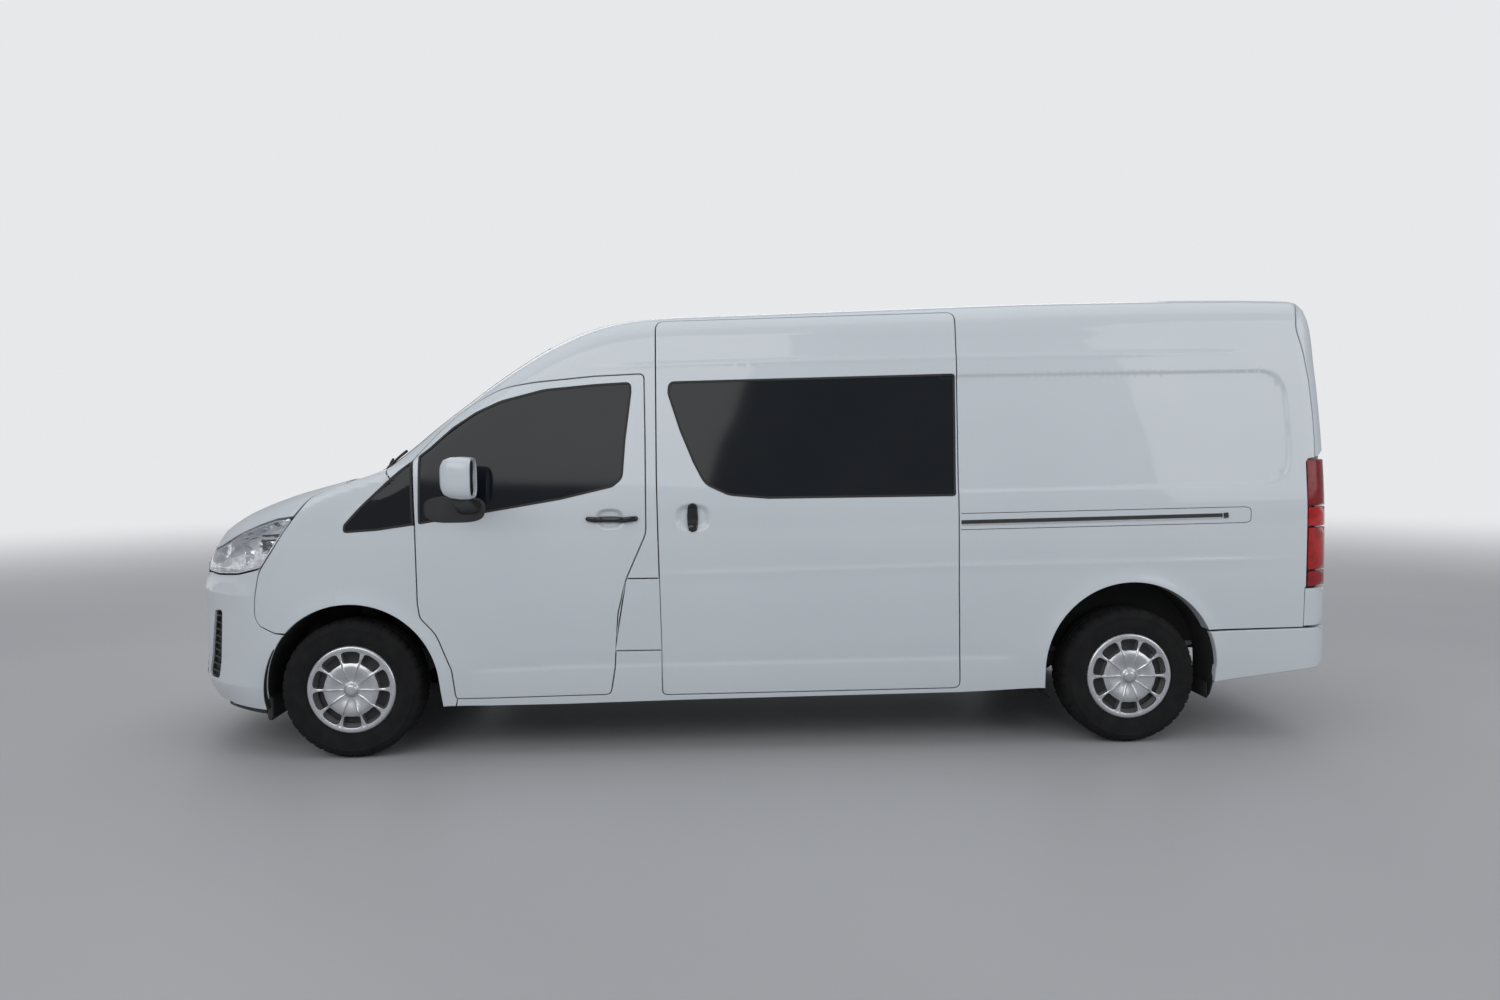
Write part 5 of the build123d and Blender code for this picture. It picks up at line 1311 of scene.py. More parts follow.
# ---------------------------------------------------------------- tail: lamps, bumper, plate
LAMP_BANDS = [("low", 786, 862, 0.75), ("stop", 868, 1082, 1.0), ("turn", 1088, 1186, 1.25),
              ("high", 1192, 1424, 0.6)]
for name, low, high, shade in LAMP_BANDS:
    ring = np.concatenate([from_side(bend((4757, low, 4), (4761, high, 8), (4800, high, 0))),
                           from_behind(bend((-880, high, 0), (-797, high, 4), (-797, low, 4),
                                            (-880, low, 0))),
                           from_side(bend((4800, low), (4770, low)))])
    red = surface(f"red_lamp_{name}", (0.44 * shade, 0.001, 0.004), (0.26 * shade, 0.001, 0.003),
                  rough=(0.10, 0.16), scale=30.0, bump=0.35, bump_scale=160.0, distance=0.0012,
                  coat=0.35, Specular_IOR_Level=0.3)
    for side, right in SIDES:
        panel(f"tail_lamp_{name}_{side}", slab(REAR, ring, thick=40, gap=1.0, lip=4, step=22),
              "taillights", red, right=right)
clear_ring = from_behind(rectangle(-872, -806, 884, 1066, 8))
for side, right in SIDES:
    panel(f"reverse_lamp_{side}", slab(REAR, clear_ring, thick=20, gap=0, lip=2, grow=2.5, step=22),
          None, surface(f"reverse_lens_{side}", (0.78, 0.80, 0.82), (0.66, 0.68, 0.70),
                        rough=(0.08, 0.15), scale=40.0, bump=0.5, bump_scale=150.0, distance=0.001,
                        coat=1.0), right=right)
foot_ring = np.concatenate([from_side(bend((4743, 583, 3), (4745, 777, 3), (4790, 777, 0))),
                            from_behind(bend((-880, 777, 0), (-793, 777, 3), (-793, 583, 3),
                                             (-880, 583, 0))),
                            from_side(bend((4795, 583), (4760, 583)))])
for side, right in SIDES:
    panel(f"corner_panel_{side}", slab(REAR, foot_ring, thick=30, gap=4), None, right=right)
bumper_rear_half = np.concatenate([from_behind(bend((-8, 577), (-790, 577), (-850, 577))),
                                   from_side(bend((4820, 577), (4743, 576), (4257, 568))),
                                   from_side(np.concatenate([arch_run(REAR_ARCH, 24, 2),
                                                             bend((4289, 375), (4286, 302))])),
                                   from_side(bend((4300, 303), (4780, 361), (4830, 367))),
                                   from_behind(bend((-850, 371), (-790, 372), (-8, 372)))])
panel("bumper_rear", slab(LOW_REAR, both_ways(bumper_rear_half), thick=45, grow=5, lip=6, step=30),
      "rear_bumper")
ribbon("bumper_step_trim", from_behind(bend((-760, 560), (760, 560))), 26, 7, sink=-3)
PLATE = surface("blank_plate", (0.72, 0.72, 0.70), (0.66, 0.66, 0.65), rough=(0.3, 0.4), bump=0.05)
for name, (half, *place), thick, grow, lip, material, slot in (
        ("plate_recess", (300, 846, 1040, 30), 6, 4, 3, BLACK_TRIM, "black_plastic"),
        ("plate_rear", (260, 868, 980, 10), 4, 9, 1.5, PLATE, "body_paint"),
        ("tailgate_garnish", (250, 1052, 1092, 14), 10, 16, 6, SHADE_DARKENED_PAINT, "body_paint")):
    solid = slab(REAR, from_behind(rectangle(-half, half, *place)), thick=thick, gap=0, grow=grow,
                 lip=lip)
    panel(name, solid, None, material, "tailgate")
front_plate = from_ahead(rectangle(-186, 186, 640, 752, 8))
panel("plate_front", slab(NOSE, front_plate, thick=4, gap=0, grow=7, lip=1.5), None, PLATE)

# ---------------------------------------------------------------- side fittings
RAIL_LINE = curve([(2900, 1128), (4340, 1150)], 50)
rail_frame = from_side(bend((2994, 1092, 0), (4429, 1111, 20), (4462, 1116, 22), (4464, 1184, 22),
                            (4429, 1190, 20), (2994, 1172, 0)))
run = np.arange(2996, 4340, 24.0)
rail_path = from_side(np.stack([run, RAIL_LINE(run)], axis=1))
for side, right in SIDES:
    ribbon(f"rail_seam_{side}", rail_frame, 3.0, 0.4, SEAL, right=right)
    ribbon(f"slide_rail_{side}", rail_path, 19, 1.2, right=right, node="slide_rails")
    ribbon(f"slide_rail_lip_{side}", from_side(np.stack([run, RAIL_LINE(run) - 13], axis=1)), 5, 4,
           SILVER, right=right)
    end = from_side(bend((4322, 1148), (4344, 1150)))
    ribbon(f"rail_end_{side}", end, 25, 7, right=right)


def handle(name, places, width, proud, body, right, thick=12):
    """A bar standing off the skin along places (x, z)."""
    path = from_side(rounded([(x, z, 30) for x, z in places], 8.0, closed=False))
    normal = skin_normal(path, 40.0)
    count = len(path)
    t = np.linspace(0, 1, count)
    lift = proud * np.minimum(1, np.minimum(t, 1 - t) / 0.16 + 0.1) ** 0.5
    wide = width * (0.72 + 0.28 * np.sin(np.pi * t) ** 0.5)
    ahead = unit(np.gradient(path, axis=0))
    side = np.cross(ahead, normal)
    grid = []
    for i in range(count):
        ring = squircle(wide[i] / 2, thick / 2, 3.0, 16)
        if i in (0, count - 1):
            ring = ring * 0.4
        grid.append(path[i] + normal[i] * lift[i] + ring[:, :1] * side[i] + ring[:, 1:] * normal[i])
    quad_mesh(name, [np.array(grid)], GLOSS_BLACK, body=body, right=right)


for side, right in SIDES:
    handle(f"door_handle_{side}", [(1152, 1166), (1200, 1160), (1340, 1158), (1406, 1166)], 30, 12,
           f"front_door_{side}", right)
    handle(f"slide_handle_{side}", [(1671, 1096), (1671, 1236)], 54, 8, "body", right, 16)

# ---------------------------------------------------------------- wheels
TYRE_PROFILE = [(202, 80), (208, 86), (216, 90), (220, 99), (227, 104), (231, 103.6), (236, 106),
                (255, 111), (275, 112.4), (296, 110.5), (300, 111.8), (304, 109), (318, 104),
                (331, 94), (338, 78), (340, 58)]
GROOVES = ((-62, 7), (-22, 8), (22, 8), (62, 7))


def tyre_profile():
    """(radius, place across) from the left bead over the tread to the right bead."""
    bead = TYRE_PROFILE[:-1]
    tread = []
    for y in np.linspace(56, -56, 57):
        cut = max([max(0.0, 1 - max(0.0, abs(y - at) - wide / 2) / 1.5) for at, wide in GROOVES])
        tread.append((TYRE_RADIUS - 8 * cut, y))
    return bead + tread + [(r, -y) for r, y in bead[::-1]]


def wheel_ring(x, y, angle, radius):
    """Points round a wheel's axle; y and radius are numbers or one for each angle."""
    return np.stack([x + radius * np.cos(angle), np.broadcast_to(y, angle.shape),
                     TYRE_RADIUS + radius * np.sin(angle)], axis=1)


def quad_tube(name, grid, materials, body, node=None, parts=None):
    """Piece from one grid of points that closes round its columns and has no caps."""
    index = np.arange(grid.shape[0] * grid.shape[1]).reshape(grid.shape[:2])
    mesh = array_mesh(name, to_row(grid.reshape(-1, 3)), grid_quads(index))
    if parts is not None:
        mesh.polygons.foreach_set("material_index", parts.ravel().astype(np.int32))
    piece(name, mesh, materials, 32, body, node)


TREAD_COLUMNS, BLOCK_PITCH = 240, 6     # points round the tyre, and from cut to cut


def tyre_piece(prefix, body, x, y, sign):
    """Tyre with its grooves and cross cuts. sign is +1 on the right."""
    angle = np.linspace(0, 2 * math.pi, TREAD_COLUMNS, endpoint=False)
    block = (np.arange(TREAD_COLUMNS) % BLOCK_PITCH == 0)
    grid = []
    for r, across in tyre_profile():
        radius = np.full(TREAD_COLUMNS, float(r))
        if 64 < abs(across) < 101 or 28 < abs(across) < 58 and r > 336:
            radius = radius - np.where(block, 6.0 if abs(across) > 64 else 4.0, 0.0)
        grid.append(wheel_ring(x, y + sign * across, angle, radius))
    for r, across in ((200, -80), (198, -60), (198, 60), (200, 80)):
        grid.append(wheel_ring(x, y + sign * across, angle, r))
    grid.append(grid[0])
    quad_tube(f"{prefix}_tyre_tread", np.array(grid), [RUBBER], body, f"{prefix}_tyre")


COVER_OUT = 103.0             # cover's face outboard of the tyre's middle
WINDOWS = 10
COVER_FACE = curve([(0, 13), (22, 12), (28, 8), (31, -2), (40, -6), (58, -4), (82, 3), (106, 8),
                    (120, 6), (131, 1), (146, -2), (188, -1), (193, 2), (205, 3), (212, 1),
                    (217, -8)], 3)
WINDOW_HALF = curve([(120, 34), (135, 37.5), (150, 41.5), (165, 44.5), (178, 46), (190, 44.5),
                     (200, 41)], 4)
WINDOW_SHARE = 0.72          # share of the pitch, in columns, that a window takes
WINDOW_IN, WINDOW_OUT, WINDOW_CORNER = 131.0, 189.0, 7.0


def cover_piece(prefix, body, x, y, sign):
    """Silver cover: a pleated disc, ten spokes that spread into the outer ring, ten windows."""
    half_pitch = math.pi / WINDOWS
    edge = WINDOW_SHARE
    spans = [np.linspace(-1, -edge, 8), np.linspace(-edge, edge, 17), np.linspace(edge, 1, 8)[:-1]]
    u = np.concatenate(spans)
    in_window = np.concatenate([np.zeros(8, bool), np.ones(17, bool), np.zeros(7, bool)])
    u_all = np.tile(u, WINDOWS)
    in_column = np.tile(in_window, WINDOWS)
    middle = np.repeat(np.arange(WINDOWS) * 2 * half_pitch + math.pi / 2, len(u))
    away = np.abs(u_all)
    corner = np.where(away < edge, (away / edge) ** 7, 1 - (away - edge) / (1 - edge))
    rows = [(r, None, False) for r in (0.2, 12, 21, 25, 28, 30, 33, 38, 46, 56, 68, 80, 92, 103,
                                       112, 119, 125)]
    rows += [(None, 0.0, False)] + [(None, t, True) for t in (0.0, 0.2, 0.4, 0.6, 0.8, 1.0)]
    rows += [(None, 1.0, False)]
    rows += [(r, None, False) for r in (193, 197, 203, 208, 212, 215, 217)]
    grid, flags = [], []
    for radius, share, in_row in rows:
        r_in, r_out = WINDOW_IN + WINDOW_CORNER * corner, WINDOW_OUT - WINDOW_CORNER * corner
        r = np.full(len(u_all), float(radius)) if share is None else r_in + share * (r_out - r_in)
        deep = in_column & in_row
        half = WINDOW_HALF(np.clip(r, 120, 200)) / np.maximum(r, 118)
        half = np.where(r < 118, half + (edge * half_pitch - half) * np.clip((118 - r) / 60, 0, 1),
                        half)
        turn = np.where(away < edge, away / edge * half,
                        half + (away - edge) / (1 - edge) * (half_pitch - half))
        angle = middle + np.sign(u_all) * turn
        crest = np.clip((away - edge) / (1 - edge), 0, 1)
        fade = np.interp(r, [34, 70, 120, 150, 170, 188, 192], [0, 0.7, 1, 1, 0.5, -0.5, 0])
        ridge = 3.4 * fade * crest ** 1.4 * np.where(u_all > 0, 1.0, 0.82)
        pleat = 2.4 * np.interp(r, [34, 60, 118, 136], [0, 1, 1, 0]) * (away ** 2.2 + 0.16 * u_all)
        height = COVER_FACE(r) + ridge + pleat - np.where(deep, 40.0, 0.0)
        grid.append(wheel_ring(x, y + sign * (COVER_OUT + height), angle, r))
        flags.append(deep)
    angle = middle + np.sign(u_all) * away * half_pitch
    for r, out in ((216, 66), (200, 46), (0.2, 40)):
        grid.append(wheel_ring(x, y + sign * out, angle, r))
        flags.append(np.zeros(len(angle), bool))
    flags = np.array(flags)
    following = np.roll(flags, -1, axis=1)
    # Faces on each window's floor, 40 mm down, take the black material: painted shade, standing for
    # the dark seen through the cover's openings.
    painted_shade_faces = flags[:-1] & flags[1:] & following[:-1] & following[1:]
    quad_tube(f"{prefix}_wheel_cover", np.array(grid), [SILVER, BLACK_TRIM], body, None,
              painted_shade_faces.astype(int))


# closed section of the steel wheel: (radius, place outboard of the tyre's middle)
RIM_SECTION = [(204, 90), (198, 88), (187, 78), (177, 60), (176, 10), (192, -20), (197, -88),
               (203, -97), (195, -97), (188, -84), (184, -22), (169, 2), (158, 14), (110, 28),
               (70, 25), (31, 25), (31, 35), (70, 35), (110, 39), (160, 27), (168, 42), (172, 72),
               (192, 88)]


def rim_piece(prefix, body, x, y, sign):
    angle = np.linspace(0, 2 * math.pi, 120, endpoint=False)
    grid = [wheel_ring(x, y + sign * out, angle, r) for r, out in RIM_SECTION + RIM_SECTION[:1]]
    quad_tube(f"{prefix}_steel_wheel", np.array(grid), [DARK_STEEL], body, f"{prefix}_rim")


for place, x, half_track in (("front", 0.0, 837.5), ("rear", WHEELBASE, 835.0)):
    for side, right in SIDES:
        sign = 1 if right else -1
        for make in (tyre_piece, cover_piece, rim_piece):
            make(f"{place}_{side}", f"wheel_{place}_{side}", x, sign * half_track, sign)

# ---------------------------------------------------------------- mirrors
for side, right in SIDES:
    body = f"front_door_{side}"
    shell = loft([(500, -1128, 1378, 4, 6), (506, -1128, 1378, 52, 62), (522, -1130, 1378, 74, 84),
                  (552, -1132, 1376, 86, 96), (600, -1134, 1374, 90, 100),
                  (640, -1134, 1373, 88, 98), (650, -1134, 1373, 84, 94),
                  (651, -1134, 1373, 78, 88), (640, -1134, 1373, 76, 86), (638, -1134, 1373, 2, 2)],
                 0, 3.6, 40)
    glass = loft([(636, -1134, 1373, 72, 82), (644, -1134, 1373, 72, 82),
                  (645.5, -1134, 1373, 70, 80), (645.6, -1134, 1373, 1, 1)], 0, 3.6, 40)
    arm = loft([(-955, 590, 1228, 62, 40), (-985, 590, 1232, 56, 34), (-1030, 588, 1246, 50, 26),
                (-1085, 586, 1262, 46, 22), (-1128, 584, 1276, 44, 22), (-1150, 584, 1284, 40, 16)],
               1, 3.0, 28)
    pad = loft([(-940, 520, 1215, 150, 70), (-962, 520, 1215, 150, 66), (-972, 520, 1215, 140, 58),
                (-974, 520, 1215, 2, 2)], 1, 3.2, 32)
    quad_mesh(f"mirror_shell_{side}", [shell], SHADE_DARKENED_PAINT, body, f"mirror_{side}", right)
    quad_mesh(f"mirror_glass_{side}", [glass], CHROME, body, right=right)
    for name, grid in (("arm", arm), ("foot", pad)):
        quad_mesh(f"mirror_{name}_{side}", [grid], body=body, right=right)

# ---------------------------------------------------------------- seats
FABRIC = surface("seat_cloth", (0.045, 0.048, 0.056), (0.070, 0.073, 0.082), rough=(0.86, 0.95),
                 scale=60.0, bump=0.7, bump_scale=1400.0, distance=0.0008)
VINYL = surface("seat_side", (0.030, 0.031, 0.034), (0.042, 0.043, 0.046), rough=(0.5, 0.62),
                scale=12.0, bump=0.4, bump_scale=700.0)
LEAN = unit(np.array([120.0, 0, 560.0]))
LEVEL = unit(np.array([1.0, 0, -0.03]))
# a pad: name, node, middle, direction of its length, kind; a kind: length, width, thickness,
# places, bolster
SEAT, BACK, HEADREST = (418, 506, 112, 1, 17), (560, 492, 98, 1, 17), (172, 250, 92, 0, 0)
BENCH_SEAT, BENCH_BACK = (418, 1486, 112, 3, 0), (560, 1470, 98, 3, 0)
CUSHIONS = []
for place, y in (("left", -420.0), ("right", 420.0)):
    CUSHIONS += [(f"cushion_front_{place}", "front_seats", (1124, y, 920), LEVEL, *SEAT),
                 (f"back_front_{place}", "front_seats", (1446, y, 1268), LEAN, *BACK),
                 (f"headrest_front_{place}", "front_seats", (1514, y, 1672), LEAN, *HEADREST)]
CUSHIONS += [("cushion_bench", "rear_bench", (2164, 0, 920), LEVEL, *BENCH_SEAT),
             ("back_bench", "rear_bench", (2486, 0, 1268), LEAN, *BENCH_BACK)]
CUSHIONS += [(f"headrest_bench_{k}", "rear_bench", (2554, (k - 1) * 500, 1672), LEAN, *HEADREST)
             for k in range(3)]
SWELL = 7.0                   # how much smaller a pad starts than it ends
PAD_VOXEL, BENCH_VOXEL = 0.0125, 0.0165      # metres
CLOTH_FRAMES = 14
CLOTH_CAP = 0.012             # metres that the cloth may move a point
EDGE_BAND, BENCH_BAND = 84, 70               # width of the bolsters, and of the bench's bands
ACROSS = np.array([0, 1.0, 0])


def pad_shape(length, width, thick):
    """A crowned soft box a little under a pad's size, as (along, across, out)."""
    half = np.array([length, width, thick]) / 2 - SWELL * np.array([0.5, 0.5, 1.0])
    grid = soft_box(-half, half, 34.0, 6.0, 1, 64)
    grid = np.concatenate([grid[:4], np.linspace(grid[4], grid[5], max(8, int(width / 24))),
                           grid[6:]])
    share = np.clip(1 - (grid[..., 0] / half[0]) ** 2, 0, 1) ** 0.5
    grid[..., 2] *= 0.90 + 0.10 * share
    return grid


def local_object(name, grid):
    mesh = bpy.data.meshes.new(name)
    mesh.from_pydata((grid.reshape(-1, 3) / 1000).tolist(), [], capped_faces(grid.shape))
    clean(mesh, merge=False)
    return link(name, mesh)


def evaluated(obj):
    graph = bpy.context.evaluated_depsgraph_get()
    return bpy.data.meshes.new_from_object(obj.evaluated_get(graph))


def values_of(mesh, name):
    """Places (co) or directions (normal) of a mesh's points."""
    values = np.zeros(len(mesh.vertices) * 3)
    mesh.vertices.foreach_get(name, values)
    return values.reshape(-1, 3)


def applied(obj):
    """Puts what the object's modifiers make into its mesh."""
    mesh = evaluated(obj)
    obj.modifiers.clear()
    obj.data = mesh
    return mesh


def swollen(objects):
    for obj in objects:
        cloth = obj.modifiers.new("cloth", "CLOTH")
        cloth.settings.use_pressure = True
        cloth.settings.uniform_pressure_force = 4.0
        cloth.settings.effector_weights.gravity = 0.0
        cloth.settings.quality = 4
        cloth.collision_settings.use_collision = False
    for number in range(1, CLOTH_FRAMES + 1):
        bpy.context.scene.frame_set(number)
    shapes = [values_of(evaluated(obj), "co") for obj in objects]
    bpy.context.scene.frame_set(1)
    return shapes


def make_pads():
    """Remeshes every kind of pad, lets cloth swell it, then sews its channels."""
    kinds = list(dict.fromkeys(tuple(kind) for _, _, _, _, *kind in CUSHIONS))
    objects = []
    for kind in kinds:
        obj = local_object("pad", pad_shape(*kind[:3]))
        remesh = obj.modifiers.new("remesh", "REMESH")
        remesh.mode, remesh.voxel_size = "VOXEL", PAD_VOXEL if kind[1] < 1000 else BENCH_VOXEL
        applied(obj)
        objects.append(obj)
    meshes = {}
    for kind, obj, after in zip(kinds, objects, swollen(objects)):
        obj.modifiers.clear()
        before = values_of(obj.data, "co")
        move = after - before
        far = np.linalg.norm(move, axis=1, keepdims=True)
        move = move * np.minimum(1, CLOTH_CAP / np.maximum(far, 1e-9))
        obj.data.vertices.foreach_set("co", (before + move).ravel())
        obj.data.update()
        smooth = obj.modifiers.new("smooth", "SUBSURF")
        smooth.levels = smooth.render_levels = 1
        meshes[kind] = applied(obj)
        sew(meshes[kind], *kind)
        bpy.data.objects.remove(obj)
    return meshes


def sew(mesh, length, width, thick, places, bolster):
    """Presses sewn channels into a pad's face, raises its bolsters and presses a line in along its
    welt.
    """
    co, normal = values_of(mesh, "co") * 1000, values_of(mesh, "normal")
    along, across, out = co.T
    edge, up = np.exp(-((out - thick * 0.30) / 5.5) ** 2), np.abs(normal[:, 2])
    front = smoothstep(normal[:, 2], 0.25, 0.75)
    lift = np.zeros(len(co))
    if places:
        pitch = width / places
        local = (across + width / 2) % pitch - pitch / 2
        channel = pitch / 2 - (EDGE_BAND if bolster else BENCH_BAND)
        lift += bolster * smoothstep(np.abs(local), channel, channel + 52)
        lift -= 6.0 * np.exp(-((np.abs(local) - channel) / 6.5) ** 2)
        inner = smoothstep(-np.abs(local), -channel, -channel + 6)
        for k in range(-2, 3):
            lift -= 4.0 * np.exp(-((along - k * length / 6.2) / 6.5) ** 2) * inner
        if places > 1:
            lift -= 9.0 * np.exp(-((np.abs(local) - pitch / 2) / 9.0) ** 2)
    co = co + normal * (lift * front)[:, None]
    welt = edge * smoothstep(-up, -0.85, -0.5)
    co = co - normal * (4.0 * welt)[:, None]
    mesh.vertices.foreach_set("co", (co / 1000).ravel())
    mesh.update()


def place_pads():
    meshes = make_pads()
    for name, node, middle, ahead, *kind in CUSHIONS:
        mesh = meshes[tuple(kind)].copy()
        mesh.name = name
        co = values_of(mesh, "co") * 1000
        facing = np.cross(ahead, ACROSS)
        turned = facing[0] > 0 if ahead is LEAN else facing[2] <= 0
        if turned:
            facing = -facing
        place = np.array(middle) + co[:, :1] * ahead + co[:, 1:2] * ACROSS + co[:, 2:] * facing
        mesh.vertices.foreach_set("co", to_row(place).ravel())
        mesh.materials.append(FABRIC)
        mesh.materials.append(VINYL)
        mesh.update()
        obj = link(name, mesh)
        work = bmesh.new()
        work.from_mesh(mesh)
        if turned:
            bmesh.ops.reverse_faces(work, faces=work.faces)
        width, places = kind[1], kind[3]
        for face in work.faces:
            across = face.calc_center_median().y * 1000 - middle[1]
            face.material_index = int(places == 1 and abs(across) > width / 2 - EDGE_BAND
                                      or face.normal.dot(Vector(facing)) < -0.2)
        work.to_mesh(mesh)
        work.free()
        mesh.shade_smooth()
        declare(obj, "body", node)


place_pads()
for name, x, half_y, y_list, places in (("front", 920, 260, (-420, 420), 1),
                                        ("bench", 1960, 750, (0,), 3)):
    for number, y in enumerate(y_list):
        base = soft_box((x + 44, y - half_y + 64, 642), (x + 446, y + half_y - 64, 864), 22, 8.0, 1,
                        40)
        quad_mesh(f"seat_base_{name}_{number}", [base], DARK_TRIM)
        flat = soft_box((-340, -half_y + 30, -11), (282, half_y - 30, 11), 9, 8.0, 1, 40)
        behind = np.array([LEAN[2], 0, -LEAN[0]])
        shell = np.array([x + 526.0, y, 1268.0]) + behind * 56 + (
            flat[..., :1] * LEAN + flat[..., 1:2] * ACROSS + flat[..., 2:] * behind)
        quad_mesh(f"seat_shell_{name}_{number}", [shell], DARK_TRIM)
        hinges = [soft_box((x + 350, y + k * (half_y - 14) - 6, 800),
                           (x + 506, y + k * (half_y - 14) + 6, 1090), 5, 5.0, 1, 24)
                  for k in (-1, 1)]
        quad_mesh(f"seat_hinges_{name}_{number}", hinges)
        rail = [soft_box((x + 20, y + k * (half_y - 90) - 18, 641),
                         (x + 470, y + k * (half_y - 90) + 18, 662), 5, 8.0, 0, 16)
                for k in (-1, 1)]
        quad_mesh(f"seat_rails_{name}_{number}", rail, STEEL)
        posts = []
        for k in range(places):
            middle = y + (k - (places - 1) / 2) * 500
            for side_y in (-48, 48):
                foot = np.array([x + 574.0, middle + side_y, 1535.0])
                posts.append(tube([foot + LEAN * t for t in (0, 30, 60, 90)], 6.5, 12))
        quad_mesh(f"headrest_posts_{name}_{number}", posts, CHROME)

# ---------------------------------------------------------------- cab
dash_profile = rounded([(-38, 884, 20), (-38, 1266, 16), (110, 1283, 60), (300, 1246, 90),
                        (418, 1150, 50), (399, 962, 40), (300, 862, 30)], 18.0)
dash = []
for y in np.concatenate([[-858], np.linspace(-856, 856, 110), [858]]):
    ring = dash_profile.copy()
    hood = math.exp(-((y - 420) / 185) ** 4)
    lift = smoothstep(ring[:, 0], 180, 330) * smoothstep(ring[:, 1], 1120, 1200)
    ring[:, 1] += 34 * hood * lift
    ring[:, 0] += 16 * hood * lift
    stack = math.exp(-(y / 165) ** 6)
    rear = smoothstep(ring[:, 0], 340, 390)
    ring[:, 0] += 22 * stack * rear
    shelf = math.exp(-((y + 430) / 250) ** 8)
    ring[:, 0] -= 16 * shelf * rear * np.exp(-((ring[:, 1] - 1120) / 22) ** 2)
    if abs(y) > 857:
        middle = ring.mean(axis=0)
        ring = middle + (ring - middle) * 0.985
    dash.append(np.stack([ring[:, 0], np.full(len(ring), y), ring[:, 1]], axis=1))
quad_mesh("dash_body", [np.array(dash)], DARK_TRIM, node="dashboard")
quad_mesh("dash_screen", [soft_box((428, -128, 1040), (446, 128, 1172), 8, 9.0, 0, 40)],
          GLOSS_BLACK)
for number, y in enumerate((-800, -190, 190, 800)):
    back = 424 if abs(y) > 500 else 440
    slot_box = [soft_box((404, y - 48, 1112), (back, y + 48, 1168), 6, 7.0, 0, 32)]
    slot_box += [soft_box((424, y - 40, 1120 + k * 11), (back + 8, y + 40, 1124 + k * 11), 1.5, 7.0,
                          0, 12) for k in range(4)]
    quad_mesh(f"air_vent_{number}", slot_box)
quad_mesh("heater_knobs", [loft([(428, y, 985, 20, 20), (440, y, 985, 20, 20),
                                 (452, y, 985, 17, 17), (456, y, 985, 12, 12)], 0, 2.0, 28)
                           for y in (-70, 0, 70)])
quad_mesh("glove_box", [soft_box((392, -660, 960), (408, -230, 1080), 7, 9.0, 0, 40)], DARK_TRIM)
lever = tube([(420, 150, 1010), (450, 152, 1040), (474, 154, 1090), (482, 155, 1112)], 8, 12)
knob = soft_box((464, 134, 1104), (502, 176, 1150), 16, 3.0, 2, 24)
quad_mesh("gear_lever", [lever, knob])
COLUMN = unit(np.array([math.cos(math.radians(25)), 0, math.sin(math.radians(25))]))
UPRIGHT = np.array([-COLUMN[2], 0, COLUMN[0]])
HUB_AT = np.array([790.0, 420.0, 1150.0])


def wheel_point(across, up, out):
    return HUB_AT + ACROSS * across + UPRIGHT * up + COLUMN * out


turn = np.linspace(0, 2 * math.pi, 96, endpoint=False)
ring = []
for t in np.append(turn, turn[0]):
    ring.append([wheel_point((174.5 + a) * math.cos(t), (174.5 + a) * math.sin(t), b)
                 for a, b in squircle(14.5, 13.0, 2.4, 18)])
LEATHER = surface("wheel_leather", (0.018, 0.018, 0.019), (0.028, 0.028, 0.029), rough=(0.42, 0.55),
                  scale=30.0, bump=0.5, bump_scale=900.0)
quad_tube("steering_rim", np.swapaxes(np.array(ring), 0, 1)[list(range(18)) + [0]][:, :-1],
          [LEATHER], "steering_wheel", "steering_wheel")
pad = [np.array([wheel_point(a, b, out) for a, b in squircle(half, half * 0.82, 3.2, 36)])
       for out, half in ((-12, 40), (-10, 56), (-2, 64), (10, 64), (20, 56), (25, 40), (26, 6))]
quad_mesh("steering_pad", [np.array(pad)], DARK_TRIM, body="steering_wheel")
spokes = []
for degrees in (4, 176, 270):
    t = math.radians(degrees)
    path = [wheel_point(r * math.cos(t), r * math.sin(t), out)
            for r, out in ((40, 2), (90, -4), (130, -3), (168, 0))]
    side = ACROSS * -math.sin(t) + UPRIGHT * math.cos(t)
    spokes.append(np.array([[p + a * side + b * COLUMN for a, b in squircle(w, 6, 3.0, 20)]
                            for p, w in zip(path, (24, 18, 15, 13))]))
quad_mesh("steering_spokes", spokes, DARK_TRIM, body="steering_wheel")
quad_mesh("steering_stub", [tube([HUB_AT + COLUMN * t for t in (-89, -60, -30, -8)], 23, 24)],
          body="steering_wheel")
shroud = tube([HUB_AT + COLUMN * t for t in (-92, -96, -200, -330, -420)], 42, 28)
quad_mesh("column_shroud", [shroud], DARK_TRIM)

# door linings with an armrest and a pocket
lining_ring = shrunk(door_ring, SIDE, 36)
lining_hole = shrunk(glass_ring, SIDE, -14)
lining = slab(SIDE, lining_ring, [lining_hole], thick=7, gap=1, grow=-60.5, lip=3, step=45,
              normal_step=12.0)
for side, right in SIDES:
    body = f"front_door_{side}"
    panel(f"door_lining_{side}", lining, None, INNER_TRIM, body, right)
    parts = [soft_box((640, -908, 1004), (1230, -846, 1052), 20, 4.0, 0, 28),
             soft_box((600, -906, 400), (1180, -868, 540), 16, 5.0, 0, 28)]
    quad_mesh(f"door_armrest_{side}", parts, DARK_TRIM, body=body, right=right)

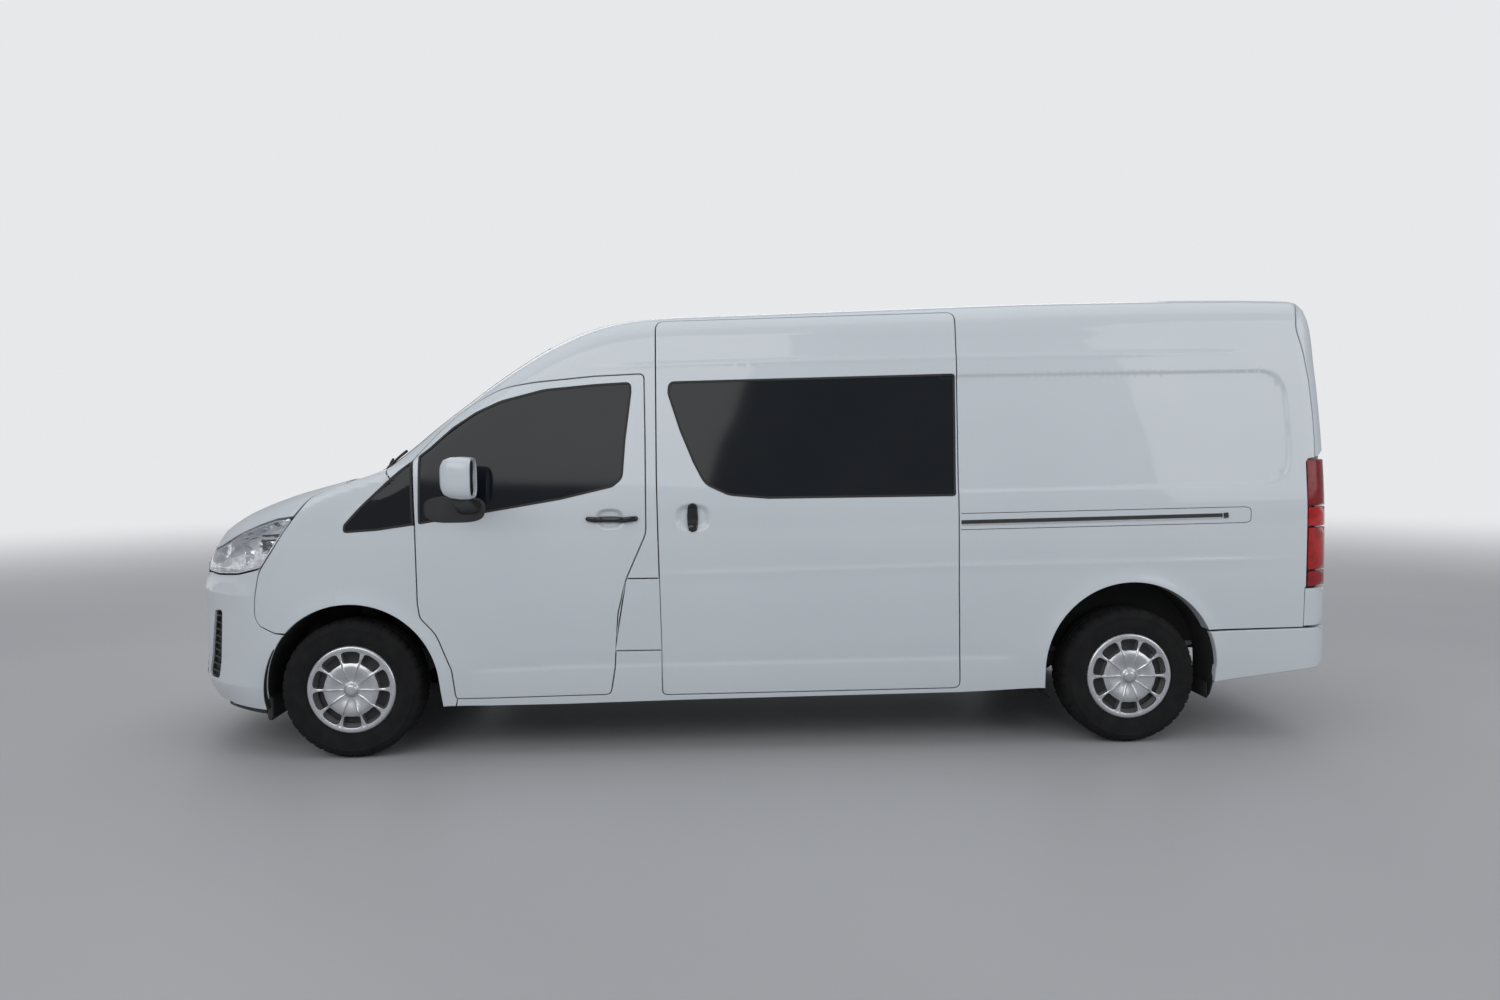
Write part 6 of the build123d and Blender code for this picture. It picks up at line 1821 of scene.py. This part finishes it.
# ---------------------------------------------------------------- engine bay
BOTTLE = surface("bottle_plastic", (0.62, 0.63, 0.60), (0.56, 0.57, 0.54), rough=(0.4, 0.5),
                 scale=14.0, bump=0.15)
block_parts = [soft_box((-632, -232, 336), (-78, 232, 770), 30, 6.0, 0, 48),
               soft_box((-606, -176, 765), (-104, 176, 872), 26, 5.0, 0, 40)]
quad_mesh("engine_block", block_parts, CAST, node="engine")
cover = [soft_box((-592, -206, 868), (-118, 206, 936), 26, 5.0, 0, 48)]
cover += [soft_box((-560, y - 9, 930), (-150, y + 9, 948), 7, 4.0, 0, 16)
          for y in (-120, -60, 0, 60, 120)]
quad_mesh("engine_cover", cover)
quad_mesh("oil_cap", [loft([(932, -200, 168, 26, 26), (952, -200, 168, 25, 25),
                            (957, -200, 168, 19, 19)], 2, 2.4, 28)])
quad_mesh("intake_pipe", [tube([(-180, 150, 905), (-200, 235, 900), (-300, 252, 880),
                                (-480, 252, 860), (-600, 240, 850)], 30, 20)], RUBBER)
quad_mesh("battery", [soft_box((-600, 300, 806), (-430, 484, 968), 10, 9.0, 2, 40),
                      soft_box((-596, 304, 964), (-434, 480, 984), 6, 9.0, 2, 40)])
quad_mesh("battery_posts", [loft([(978, x, 330, 9, 9), (1000, x, 330, 9, 9), (1002, x, 330, 6, 6)],
                                 2, 2.0, 16) for x in (-575, -455)], STEEL)
quad_mesh("coolant_bottle", [soft_box((-590, -480, 806), (-450, -330, 960), 34, 4.0, 2, 32)],
          BOTTLE)
quad_mesh("coolant_cap", [loft([(954, -520, -405, 26, 26), (984, -520, -405, 26, 26),
                                (990, -520, -405, 20, 20)], 2, 2.0, 24)])
for name, low, high in (("battery_tray", (-612, 290, 786), (-418, 508, 810)),
                        ("bottle_tray", (-602, -508, 786), (-438, -318, 810))):
    quad_mesh(name, [soft_box(low, high, 8, 8.0, 2, 32)], STEEL)
quad_mesh("belt_pulleys", [loft([(-640, y, z, r, r), (-636, y, z, r, r), (-632, y, z, r - 6, r - 6),
                                 (-628, y, z, r, r), (-622, y, z, r, r)], 0, 2.0, 36)
                           for y, z, r in ((0, 470, 85), (-120, 600, 60), (130, 620, 52),
                                           (0, 720, 48))], STEEL)

# ---------------------------------------------------------------- CAD nodes that stay
FINISHES = {
    "floor_pan": UNDERBODY, "chassis_rails": UNDERBODY, "gearbox": CAST, "radiator": STEEL,
    "front_suspension": UNDERBODY, "rear_axle": UNDERBODY, "leaf_springs": STEEL, "exhaust": STEEL,
    "spare_wheel": RUBBER, "knuckle_left": CAST, "knuckle_right": CAST,
}
for name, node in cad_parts.items():
    node.data.materials.clear()
    node.data.materials.append(FINISHES.get(name, BLACK_TRIM))
